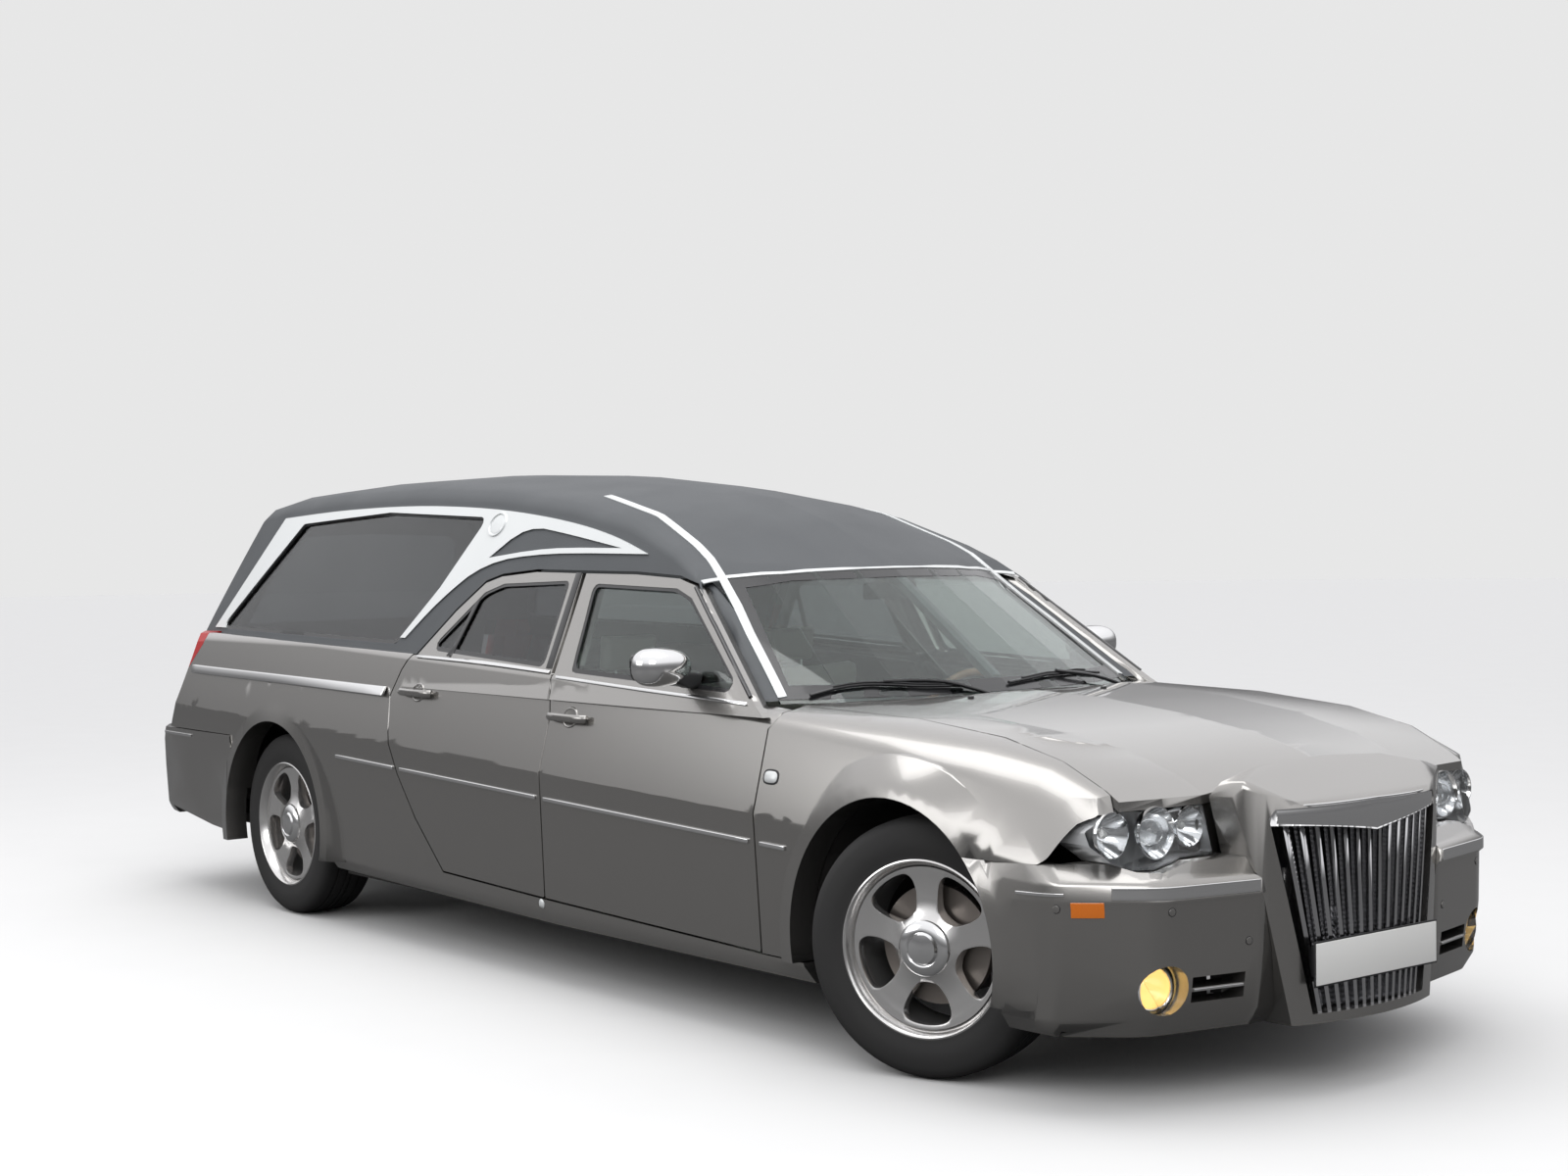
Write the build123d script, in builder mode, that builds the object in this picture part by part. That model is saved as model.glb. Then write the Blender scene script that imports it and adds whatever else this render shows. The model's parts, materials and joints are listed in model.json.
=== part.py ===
from build123d import *
import math
import os

# Long estate hearse, millimetres. +X is forward, +Y is left, +Z is up.
# The origin is on the ground, at the middle of the length and of the width.

# Driving dimensions
NOSE = 2950.0
TAIL = -2950.0
FRONT_AXLE = 2040.0
WHEELBASE = 3700.0
REAR_AXLE = FRONT_AXLE - WHEELBASE
WHEEL_Z = 361.0
TYRE_R = 361.0
RIM_R = 240.0
WHEEL_FLATS = 48
ARCH_FLATS = 72
TYRE_OUT_Y = 889.0
TYRE_IN_Y = 657.0
KINGPIN_Y = 715.0
STEER = 20.0
ARCH_R = 415.0
FLARE_R = 530.0
DOOR_GAP = 6.5
FRAME_GAP = 10.0
FRAME_INSET = 12.0
BONNET_GAP = 6.0
SKIN = 25.0
WALL = 80.0
ROOF_WALL = 45.0
WINDOW_R = 25.0
GLASS_OUT = 8.0
GLASS_IN = 13.0
# Largest loose chip that a cut may leave, in cubic millimetres
SLIVER = 20000.0
# Half angle above which a corner is left as it is
MOST_HALF_ANGLE = math.radians(86)
ROUND_FLATS = 24
BUMPER_TOP = 645.0
REAR_BUMPER_TOP = 694.0
LEFT = 1
RIGHT = -1
SIDES = ((LEFT, "left"), (RIGHT, "right"))

os.makedirs("parts", exist_ok=True)


def keep(part, name):
    """Label a finished piece and write it under its node name."""
    part.label = name
    export_step(part, "parts/" + name + ".step")


def wall_box(x0, x1, y0, y1, z0, z1):
    """Return a plain block between two corners."""
    with BuildPart() as block:
        with Locations(((x0 + x1) / 2, (y0 + y1) / 2, (z0 + z1) / 2)):
            Box(abs(x1 - x0), abs(y1 - y0), abs(z1 - z0))
    return block.part


# Lower body sections. Columns: x, floor z, sill y, sill z, crease y, crease z,
# shoulder start y, z, shoulder end y, z, bonnet crease y, z, middle z
LOWER = (
    (-3060, 330, 860, 380, 925, 822, 880, 1040, 820, 1100, 500, 1112, 1116),
    (-2400, 275, 885, 325, 938, 799, 874, 1072, 812, 1112, 500, 1120, 1122),
    (-1400, 232, 908, 282, 942, 768, 868, 1074, 800, 1106, 500, 1112, 1114),
    (300, 205, 915, 262, 942, 716, 868, 1018, 806, 1048, 500, 1055, 1058),
    (1450, 205, 912, 255, 942, 680, 882, 925, 745, 984, 560, 998, 1010),
    (1950, 205, 907, 252, 942, 664, 890, 884, 738, 974, 530, 976, 994),
    (2300, 205, 902, 248, 942, 653, 890, 842, 742, 944, 495, 938, 960),
    (2520, 205, 898, 245, 940, 646, 880, 796, 752, 894, 468, 894, 926),
    (2660, 205, 890, 242, 934, 642, 864, 750, 748, 828, 455, 845, 890),
    (2780, 205, 878, 240, 924, 638, 836, 702, 735, 752, 445, 775, 846),
    (3000, 205, 855, 240, 905, 630, 790, 620, 690, 640, 420, 660, 750),
)

# House sections. Columns: x, y at the floor of the house, roof shoulder start y, z,
# shoulder end y, z, middle z
HOUSE_FLOOR = 900.0
HOUSE = (
    (-3000, 868, 592, 1490, 460, 1552, 1585),
    (-2560, 894, 580, 1560, 450, 1634, 1676),
    (-2250, 906, 573, 1604, 444, 1680, 1718),
    (-1750, 917, 571, 1632, 440, 1705, 1740),
    (-1100, 919, 571, 1641, 440, 1712, 1747),
    (-500, 919, 581, 1618, 450, 1686, 1728),
    (0, 919, 604, 1572, 480, 1630, 1682),
    (400, 919, 634, 1508, 530, 1562, 1624),
    (700, 918, 676, 1416, 590, 1452, 1532),
    (900, 914, 716, 1334, 640, 1352, 1438),
    (1320, 905, 822, 1085, 720, 1125, 1235),
    (1560, 900, 868, 985, 750, 1015, 1125),
)

# Windscreen surface. Columns: z, corner x, corner y, middle x
SCREEN = (
    (900, 1479, 800, 1720),
    (1800, 260, 421, 415),
)
PILLAR_SWEEP = 60
# Where the roof's crown bends, as shares of its half width
CROWN_SHARES = (0.66, 0.33)
# Tail surface. Columns: z, x where it leaves the side, corner x, corner y, middle x
TAIL_FORM = (
    (150, -2510, -2822, 770, -2895),
    (660, -2510, -2822, 770, -2895),
    (1100, -2080, -2650, 745, -2745),
    (1760, -1960, -2375, 500, -2450),
)
# Lamp face of the nose. Columns: z, shift in x
LAMP_RAKE = ((150, 8), (600, 8), (1100, -123))
# Rounded faces of the bumpers. Columns: z, shift in x
BUMPER_RAKE = (
    (190, -62), (250, -22), (400, -3), (548, 0), (556, 10), (592, 10), (602, -14), (660, -34),
)
TAIL_RAKE = ((190, -40), (300, -14), (520, 0), (640, 0), (668, -8), (720, -30))
LAMP_OUTLINE = (
    (452, 790), (700, 788), (778, 762), (816, 728), (812, 690), (776, 650), (722, 628), (664, 624),
    (612, 638), (572, 650), (452, 648),
)
LAMP_PLAN = ((2785, 0), (2775, 400), (2765, 600), (2712, 790), (2600, 888), (2380, 960))
BUMPER_PLAN = ((2890, 0), (2868, 380), (2800, 690), (2600, 900), (2330, 960))
TAIL_PLAN = ((TAIL, 0), (-2936, 560), (-2880, 840), (-2700, 945), (-2500, 960))


def loft_half(sections, shape):
    """Loft the left half of the body through its sections."""
    with BuildPart() as half:
        for section in sections:
            with BuildSketch(Plane.YZ.offset(section[0])):
                with BuildLine():
                    shape(*section[1:])
                make_face()
        loft(ruled=True)
    return half.part


def lower_half(inset):
    """Return the left half of the lower body, with sides and top drawn in by an inset."""

    def shape(floor, sill_y, sill_z, cy, cz, sy, sz, ty, tz, ky, kz, mid):
        base = Line((0, floor - 5), (sill_y - 45 - inset, floor - 5))
        sill = Line(base @ 1, (sill_y - inset, sill_z))
        low = Line(sill @ 1, (cy - inset, cz))
        side = Line(low @ 1, (sy - inset, sz - inset * 0.2))
        mid_y = (sy + ty) / 2 + 14 - inset * 0.8
        mid_z = (sz + tz) / 2 + 14 - inset * 0.6
        turn = Polyline(side @ 1, (mid_y, mid_z), (ty - inset * 0.6, tz - inset))
        flat = Line(turn @ 1, (ky, kz - inset))
        top = Line(flat @ 1, (0, mid - inset))
        Line(top @ 1, base @ 0)

    return loft_half(LOWER, shape)


def house_half(inset):
    """Return the left half of the house, with sides and roof drawn in by an inset."""

    def shape(base_y, sy, sz, ty, tz, mid):
        base = Line((0, HOUSE_FLOOR), (base_y - inset * 1.1, HOUSE_FLOOR))
        side = Line(base @ 1, (sy - inset * 1.1, sz - inset * 0.3))
        mid_y = (sy + ty) / 2 + 12 - inset * 0.9
        mid_z = (sz + tz) / 2 + 14 - inset * 0.7
        turn = Polyline(side @ 1, (mid_y, mid_z), (ty - inset * 0.5, tz - inset))
        rise = [(ty * share, mid - (mid - tz) * share ** 2 - inset) for share in CROWN_SHARES]
        crown = Polyline(turn @ 1, *rise, (0, mid - inset))
        Line(crown @ 1, base @ 0)

    return loft_half(HOUSE, shape)


def bow_points(corner_x, corner_y, mid_x, steps=8):
    """Return points on the circle from one corner through the middle to the other."""
    rise = mid_x - corner_x
    radius = (corner_y ** 2 + rise ** 2) / (2 * rise)
    reach = math.asin(corner_y / abs(radius))
    turns = [reach * (2 * i / steps - 1) for i in range(steps + 1)]
    return [(mid_x - radius + radius * math.cos(t), abs(radius) * math.sin(t)) for t in turns]


def screen_side(shift):
    """Return the space behind the windscreen's surface, moved back by a shift."""
    with BuildPart() as space:
        for z, corner_x, corner_y, mid_x in SCREEN:
            outer_x = corner_x - shift + PILLAR_SWEEP
            with BuildSketch(Plane.XY.offset(z)):
                with BuildLine():
                    right = Line((-3400, -1150), (outer_x, -1150))
                    bow = Polyline(right @ 1, *bow_points(corner_x - shift, corner_y, mid_x - shift))
                    left = Line(bow @ 1, (outer_x, 1150))
                    back = Line(left @ 1, (-3400, 1150))
                    Line(back @ 1, (-3400, -1150))
                make_face()
        loft(ruled=True)
    return space.part


def tail_side(shift):
    """Return the space ahead of the tail's surface, moved forward by a shift."""
    with BuildPart() as space:
        for z, side_x, corner_x, corner_y, mid_x in TAIL_FORM:
            with BuildSketch(Plane.XY.offset(z)):
                with BuildLine():
                    front = Line((3400, -1150), (3400, 1150))
                    left = Line(front @ 1, (side_x + shift, 1150))
                    arc = bow_points(corner_x + shift, corner_y, mid_x + shift, 6)
                    bow = Polyline(left @ 1, *reversed(arc))
                    right = Line(bow @ 1, (side_x + shift, -1150))
                    Line(right @ 1, (3400, -1150))
                make_face()
        loft(ruled=True)
    return space.part


def turned(x, z, angle):
    """Return a point turned about the axle by an angle."""
    return (x * math.cos(angle) - z * math.sin(angle), x * math.sin(angle) + z * math.cos(angle))


def eased(before, here, after, radius, flats=3):
    """Return the points of a corner eased to a radius by short flats."""
    run_in = (before[0] - here[0], before[1] - here[1])
    run_out = (after[0] - here[0], after[1] - here[1])
    long_in = math.hypot(*run_in)
    long_out = math.hypot(*run_out)
    into = (run_in[0] / long_in, run_in[1] / long_in)
    out = (run_out[0] / long_out, run_out[1] / long_out)
    half = math.acos(max(-1, min(1, into[0] * out[0] + into[1] * out[1]))) / 2
    if half > MOST_HALF_ANGLE:
        return [here]
    reach = radius / math.tan(half)
    middle = (into[0] + out[0], into[1] + out[1])
    scale = radius / math.sin(half) / math.hypot(*middle)
    centre = (here[0] + middle[0] * scale, here[1] + middle[1] * scale)
    first = (here[0] + into[0] * reach - centre[0], here[1] + into[1] * reach - centre[1])
    last = (here[0] + out[0] * reach - centre[0], here[1] + out[1] * reach - centre[1])
    sweep = math.atan2(first[0] * last[1] - first[1] * last[0], first[0] * last[0] + first[1] * last[1])
    steps = [turned(*first, sweep * i / flats) for i in range(flats + 1)]
    return [(centre[0] + x, centre[1] + y) for x, y in steps]


def eased_outline(points, radius, kept=()):
    """Return a closed outline whose corners are eased, apart from the kept ones."""
    around = zip(points[-1:] + points[:-1], points, points[1:] + points[:1])
    found = []
    for i, (before, here, after) in enumerate(around):
        found.extend([here] if i in kept else eased(before, here, after, radius))
    return found


def end_outline(points, shift, radius):
    """Return the plan outline of one end, closed across the middle of the car."""
    sign = 1 if points[0][0] > 0 else -1
    half = [(x - sign * shift, y) for x, y in points]
    other = [(x, -y) for x, y in reversed(half[1:])]
    outline = [(0, -1100), (half[-1][0], -1100), *other, *half, (half[-1][0], 1100), (0, 1100)]
    middle = 2 + len(other)
    last = len(outline) - 1
    with BuildSketch(Plane.XY) as shape:
        with BuildLine():
            Polyline(*eased_outline(outline, radius, (0, 1, middle, last - 1, last)), close=True)
        make_face()
    return shape.sketch


def plan_space(points, shift, radius, z0, z1):
    """Extrude the plan outline of one end of the body."""
    with BuildPart() as space:
        with BuildSketch(Plane.XY.offset(z0)):
            add(end_outline(points, shift, radius))
        extrude(amount=z1 - z0)
    return space.part


def raked_space(plan, rakes, shift, radius):
    """Return the space behind an end face whose plan moves with its height."""
    with BuildPart() as space:
        for z, rake in rakes:
            with BuildSketch(Plane.XY.offset(z)):
                add(end_outline(plan, shift - rake, radius))
        loft(ruled=True)
    return space.part


def lamp_space(shift):
    """Return the space behind the raked lamp face of the nose."""
    return raked_space(LAMP_PLAN, LAMP_RAKE, shift, 60)


def soften(points, keep):
    """Return an outline whose corners are cut twice, apart from the kept ones."""
    found = [(point, i in keep) for i, point in enumerate(points)]
    for _ in range(2):
        cut = []
        around = zip(found[-1:] + found[:-1], found, found[1:] + found[:1])
        for (before, _), (here, sharp), (after, _) in around:
            if sharp:
                cut.append((here, True))
            else:
                cut.append((tuple(0.25 * a + 0.75 * b for a, b in zip(before, here)), False))
                cut.append((tuple(0.75 * b + 0.25 * c for b, c in zip(here, after)), False))
        found = cut
    return [point for point, _ in found]


def polygon(points, radius=0.0, grow=0.0):
    """Return a flat outline from corner points, offset and then rounded."""
    with BuildSketch(Plane.XY) as shape:
        with BuildLine():
            Polyline(*points, close=True)
        make_face()
        if grow:
            offset(amount=grow, kind=Kind.INTERSECTION)
    if not radius:
        return shape.sketch
    starts = [edge @ 0 for edge in shape.sketch.face().outer_wire().order_edges()]
    corners = [(start.X, start.Y) for start in starts]
    with BuildSketch(Plane.XY) as rounded:
        with BuildLine():
            Polyline(*eased_outline(corners, radius), close=True)
        make_face()
    return rounded.sketch


def side_prism(outline, y0=300, y1=1150):
    """Extrude an outline in the XZ plane through the left side of the body."""
    with BuildPart() as prism:
        with BuildSketch(Plane(origin=(0, y0, 0), x_dir=(1, 0, 0), z_dir=(0, -1, 0))):
            add(outline)
        extrude(amount=y0 - y1)
    return prism.part


def plan_prism(outline, z0, z1):
    """Extrude a plan outline upwards."""
    with BuildPart() as prism:
        with BuildSketch(Plane.XY.offset(z0)):
            add(outline)
        extrude(amount=z1 - z0)
    return prism.part


def front_prism(outline, x0, x1):
    """Extrude an outline in the YZ plane along the car."""
    with BuildPart() as prism:
        with BuildSketch(Plane.YZ.offset(x0)):
            add(outline)
        extrude(amount=x1 - x0)
    return prism.part


def across(radius, x, z, y0, y1, flats=ROUND_FLATS):
    """Return a bar of many flats that lies across the car."""
    with BuildPart() as bar:
        with BuildSketch(Plane(origin=(x, y0, z), x_dir=(1, 0, 0), z_dir=(0, 1, 0))):
            RegularPolygon(radius, flats)
        extrude(amount=y1 - y0)
    return bar.part


def drum(profile):
    """Return the many-sided drum with the given y and radius at each section along the axle."""
    with BuildPart() as solid:
        for y, radius in profile:
            with BuildSketch(Plane(origin=(0, y, 0), x_dir=(1, 0, 0), z_dir=(0, 1, 0))):
                RegularPolygon(radius, WHEEL_FLATS)
        loft(ruled=True)
    return solid.part


def right_of(part):
    """Return the mirror image of a left-hand piece."""
    return mirror(part, about=Plane.XZ)


def main_solid(part):
    """Return the largest solid of a part, without the slivers that its cuts leave."""
    return max(part.solids(), key=lambda solid: solid.volume)


def both(part):
    """Return a left-hand piece and its mirror image as separate solids."""
    kept = [solid for solid in part.solids() if solid.volume > SLIVER]
    return Compound(children=[Compound(kept), Compound([right_of(solid) for solid in kept])])


def whole(part):
    """Return a left half joined to its mirror image."""
    return part + right_of(part)


# Outlines seen from the side, as x and z corner points
FRONT_DOOR_LOW = (
    (1446, 268), (1452, 985), (1374, 991), (258, 1040), (302, 900), (300, 720), (286, 292),
)
FRONT_DOOR_FRAME = (
    (1440, 950), (1374, 991), (887, 1338), (780, 1362), (532, 1374), (231, 1376), (263, 1040),
    (290, 950),
)
REAR_DOOR_LOW = (
    (286, 292), (300, 720), (302, 900), (258, 1040), (-674, 1073), (-722, 1016), (-770, 917),
    (-735, 794), (-664, 638), (-555, 487), (-379, 310),
)
REAR_DOOR_FRAME = (
    (287, 950), (254, 1040), (218, 1376), (-77, 1379), (-293, 1362), (-387, 1338), (-518, 1234),
    (-674, 1073), (-722, 1016), (-690, 950),
)
PILLAR_SEAM = ((210, 1381), (238, 1381), (270, 1035), (246, 1035))
FRONT_GLASS = ((1290, 1016), (882, 1297), (786, 1326), (304, 1338), (362, 1046))
REAR_GLASS = ((-598, 1090), (-368, 1300), (-258, 1332), (156, 1346), (188, 1056))
LOAD_GLASS = (
    (-2415, 1124), (-2012, 1564), (-1292, 1601), (-540, 1572), (-689, 1312), (-857, 1104),
)
TRIM_EDGE = (
    (-2480, 1128), (-2215, 1590), (-1723, 1616), (-1130, 1626), (-630, 1610), (-261, 1582),
    (78, 1542), (345, 1494), (559, 1436), (-56, 1442), (-440, 1406), (-656, 1270), (-800, 1128),
)
TRIM_WINDOW = ((-426, 1424), (-243, 1540), (60, 1504), (400, 1456), (-56, 1460))
BONNET_EDGE = ((1440, 742), (1950, 735), (2520, 748), (2702, 738))
BONNET_REAR = ((1640, 0), (1622, 250), (1560, 500), (1440, 742))
BONNET_FRONT = ((2702, 738), (2735, 450), (2745, 0))

# Wheel arch flare, as y and radius
FLARE_FORM = ((860, FLARE_R), (902, FLARE_R), (947, 462), (951, 418))

lower_outer = lower_half(0)
lower_skin = lower_half(SKIN)
lower_wall = lower_half(WALL)
house_outer = house_half(0)
house_skin = house_half(SKIN - 3)
house_wall = house_half(ROOF_WALL)
glass_outer = house_half(GLASS_OUT)
glass_inner = house_half(GLASS_IN)
screen_space = screen_side(0)
tail_space = tail_side(0)
tail_back = tail_side(60)
arches = [across(ARCH_R, x, WHEEL_Z, 590, 1150, ARCH_FLATS) for x in (FRONT_AXLE, REAR_AXLE)]
arches = arches[0] + arches[1]


# Doors: an outer skin over an inner box that is smaller all round, with the window cut
def door(low, frame, window):
    """Return one left door from its lower outline, its frame outline and its window."""
    low_skin = (lower_outer & side_prism(polygon(low, 8, -DOOR_GAP / 2), 790)) - lower_skin
    low_box = (lower_skin & side_prism(polygon(low, 8, -SKIN - DOOR_GAP / 2), 790)) - lower_wall
    frame_skin = (house_outer & side_prism(polygon(frame, 0, -FRAME_GAP / 2))) - house_skin
    frame_box = (house_skin & side_prism(polygon(frame, 0, -FRAME_INSET))) - house_wall
    return main_solid(low_skin + low_box + frame_skin + frame_box - side_prism(polygon(window, WINDOW_R)))


def pane(window, radius):
    """Return the pane that fills a left side window."""
    return (glass_outer & side_prism(polygon(window, radius))) - glass_inner


# Columns: name, lower outline, frame outline, window, corner radius of the pane
DOORS = (
    ("front_door", FRONT_DOOR_LOW, FRONT_DOOR_FRAME, FRONT_GLASS, 30),
    ("rear_door", REAR_DOOR_LOW, REAR_DOOR_FRAME, REAR_GLASS, 25),
)
for name, low, frame, window, pane_radius in DOORS:
    left_door = door(low, frame, window)
    left_pane = pane(window, pane_radius)
    keep(left_door, name + "_left")
    keep(right_of(left_door), name + "_right")
    keep(left_pane, name + "_glass_left")
    keep(right_of(left_pane), name + "_glass_right")

door_space = (
    side_prism(polygon(FRONT_DOOR_LOW, 0, DOOR_GAP / 2), 600)
    + side_prism(polygon(REAR_DOOR_LOW, 0, DOOR_GAP / 2), 600)
)
frame_space = (
    side_prism(polygon(FRONT_DOOR_FRAME, 0, FRAME_GAP / 2))
    + side_prism(polygon(REAR_DOOR_FRAME, 0, FRAME_GAP / 2))
    + side_prism(polygon(PILLAR_SEAM))
) - house_half(ROOF_WALL + 8)


# Roof with its pillars, windscreen frame and tail frame, from the belt up
SCREEN_OUTLINE = ((0, 1382), (420, 1376), (607, 1357), (762, 985), (0, 985))
TAIL_OUTLINE = ((0, 1600), (400, 1588), (470, 1560), (655, 1100), (672, 716), (0, 716))
roof_zone = side_prism(
    polygon((
        (1600, 940), (1440, 940), (1380, 985), (-674, 1040), (-800, 1030), (-3100, 1040),
        (-3100, 1800), (1600, 1800),
    )), 0)
screen_ring = (house_outer & screen_space & wall_box(700, 1500, 0, 1000, 955, 1500)) - screen_side(55)
tail_ring = (house_outer & tail_space & roof_zone) - tail_side(45)
roof_shell = (house_outer - house_wall) & screen_space & tail_space & roof_zone
screen_hole = front_prism(polygon(SCREEN_OUTLINE, 0, -22), 500, 1900)
screen_rebate = front_prism(polygon(SCREEN_OUTLINE, 0, 0), 500, 1900) - screen_side(12)
tail_hole = front_prism(polygon(TAIL_OUTLINE, 0, BONNET_GAP), -3100, -2100)
load_hole = side_prism(polygon(LOAD_GLASS, WINDOW_R))
roof_half = roof_shell + screen_ring + tail_ring
roof_half = roof_half - screen_hole - screen_rebate - tail_hole - load_hole - frame_space - door_space
keep(whole(roof_half), "roof")

windscreen = (front_prism(polygon(SCREEN_OUTLINE), 500, 1900) & screen_side(2)) - screen_side(9)
keep(whole(windscreen), "windscreen")

load_pane = (glass_outer & load_hole) - glass_inner
keep(both(load_pane), "load_windows")

trim_space = side_prism(polygon(soften(TRIM_EDGE, (0, 1, 8, 12)))) - load_hole
trim_space = trim_space - side_prism(polygon(soften(TRIM_WINDOW, (0, 3))))
window_trim = (house_half(-5) - house_outer) & trim_space
keep(both(window_trim), "window_trim")

# Rear quarters, each with the sill under the doors
QUARTER_ZONE = (
    (-3100, 697), (-2060, 697), (-2060, 190), (1640, 190), (1640, 264), (1446, 264), (1446, 985),
    (-674, 1073), (-3100, 1120),
)
LAMP_ZONE = (
    (-2400, 1125), (-2425, 1060), (-2530, 950), (-2640, 860), (-2720, 806), (-3100, 806), (-3100, 1125),
)
quarter_zone = side_prism(polygon(QUARTER_ZONE), 560)
tail_lamp_zone = side_prism(polygon(LAMP_ZONE), 700)
lower_shell = (lower_outer & quarter_zone & tail_space) - (lower_wall & tail_back)
flare = drum(FLARE_FORM)
rear_flare = Pos(REAR_AXLE, 0, WHEEL_Z) * flare
front_flare = Pos(FRONT_AXLE, 0, WHEEL_Z) * flare
quarter_flare = rear_flare & wall_box(-2060, -1000, 850, 1000, 262, 1000)
quarter = lower_shell + quarter_flare - roof_half - house_wall
quarter = quarter - tail_lamp_zone - door_space - arches - tail_hole
keep(both(quarter), "rear_quarters")

tail_lamp = (lower_outer & tail_space & tail_lamp_zone) - (lower_wall & tail_back) - roof_half
tail_lamp = tail_lamp & side_prism(polygon(LAMP_ZONE, 0, -1.5), 701)
keep(both(tail_lamp), "tail_lamps")

# Tailgate between the quarters, hinged at the roof
tailgate_zone = front_prism(polygon(TAIL_OUTLINE, 0, 0), -3100, -2100)
tailgate_glass_zone = front_prism(
    polygon(((0, 1520), (380, 1508), (420, 1480), (560, 1130), (0, 1130))), -3100, -2100)
tailgate = (tailgate_zone & tail_space) - tail_side(34) - tailgate_glass_zone
tail_glass = (tailgate_glass_zone & tail_side(6)) - tail_side(12)
keep(whole(tailgate), "tailgate")
keep(whole(tail_glass), "tailgate_glass")

# Front fenders, bonnet and cowl
FENDER_ZONE = (
    (1449.5, 268), (2040, 268), (2040, BUMPER_TOP), (2900, BUMPER_TOP), (2900, 1010), (1455, 1010),
)
lamp_face = lamp_space(0)
bonnet_plan = polygon(
    (*BONNET_REAR, *BONNET_EDGE[1:], *BONNET_FRONT[1:]), 0, 0)
bonnet_side = polygon(
    ((1200, 0), (1200, 742), (1440, 745), *BONNET_EDGE[1:], (2900, 738), (2900, 0)), 0, BONNET_GAP / 2)
lamp_hole = front_prism(polygon(LAMP_OUTLINE, 14, 2), 2560, 2900)
fender_zone = side_prism(polygon(FENDER_ZONE), 560)
front_fill = front_flare & wall_box(1452, 2700, 850, 1000, 268, 1000)
fender = (lower_outer & fender_zone & lamp_face) - lower_half(40)
fender = fender + (front_fill & fender_zone)
fender = fender - plan_prism(bonnet_side, 500, 1200) - arches - lamp_hole - roof_half - windscreen
keep(both(fender), "front_fenders")

bonnet = (lower_outer & plan_prism(bonnet_plan, 600, 1100)) - lower_half(24)
BONNET_BESIDE = ((1300, 742.1), (2800, 755), (2800, 1000), (1300, 1000))
bonnet = bonnet - plan_prism(polygon(BONNET_BESIDE), 0, 1200)
keep(whole(bonnet), "bonnet")

COWL = ((1330, 0), (1290, 660), (1300, 735), (1434, 735), (1554, 496), (1616, 248), (1634, 0))
cowl = plan_prism(polygon(COWL), 932, 954)
keep(whole(cowl), "cowl")

# Nose: surround, grille, radiator, bumper and lamps
SURROUND = ((0, 874), (260, 862), (400, 832), (450, 798), (378, 567), (300, 196), (0, 196))
GRILLE_TOP_Z = 772
OPENING = ((0, GRILLE_TOP_Z), (340, 764), (357, 742), (238, 222), (0, 222))
NOSE_ARC = ((2825, -450), (NOSE, 0), (2825, 450))
NOSE_PROFILE = ((2752, 190), (2960, 190), (2960, 700), (2900, 785), (2810, 838), (2752, 872))


def nose_space(shift):
    """Return the space behind the bowed face of the nose."""
    with BuildPart() as space:
        with BuildSketch(Plane.XY.offset(150)):
            with BuildLine():
                bow = ThreePointArc(*[(x - shift, y) for x, y in NOSE_ARC])
                Polyline(bow @ 1, (2400, 450), (2400, -450), bow @ 0)
            make_face()
        extrude(amount=800)
    return space.part


surround = front_prism(polygon(SURROUND), 2600, 3000) & nose_space(0) & side_prism(polygon(NOSE_PROFILE), 0)
grille_hole = front_prism(polygon(OPENING), 2600, 3000)
surround = surround - grille_hole
surround_core = front_prism(polygon(SURROUND, 0, -35), 2600, 3000)
surround = surround - (surround_core & nose_space(40) & side_prism(polygon(NOSE_PROFILE, 0, -30), 0))
keep(whole(surround), "grille_surround")

BARS = 14
BAR_WIDTH = 13.0
BAR_TOP_Y = 338.0
BAR_LOW_Y = 222.0
with BuildPart() as bars:
    with BuildSketch(Plane.YZ.offset(2700)):
        for i in range(BARS):
            share = (i + 0.5) / BARS * 2 - 1
            top_y = share * BAR_TOP_Y
            low_y = share * BAR_LOW_Y
            with BuildLine():
                Polyline((low_y - BAR_WIDTH / 2, 222.5), (low_y + BAR_WIDTH / 2, 222.5),
                         (top_y + BAR_WIDTH / 2, 758), (top_y - BAR_WIDTH / 2, 758), close=True)
            make_face()
    extrude(amount=260)
bar_depth = nose_space(10) - nose_space(46)
with BuildPart() as top_bar:
    with BuildSketch(Plane.YZ.offset(2700)):
        with BuildLine():
            edge = Polyline((-357, 742), (-340, 764), (0, GRILLE_TOP_Z), (340, 764), (357, 742), (352, 722))
            left = ThreePointArc(edge @ 1, (180, 712), (0, 690))
            right = ThreePointArc(left @ 1, (-180, 712), (-352, 722))
            Line(right @ 1, edge @ 0)
        make_face()
    extrude(amount=260)
grille_back = whole(grille_hole) & (nose_space(40) - nose_space(46))
grille = (bars.part & bar_depth & whole(grille_hole)) + grille_back
grille = grille + (top_bar.part & (nose_space(2) - nose_space(46)) & whole(grille_hole))
keep(grille, "grille")

keep(wall_box(2640, 2700, -320, 320, 250, 730), "radiator")

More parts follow.
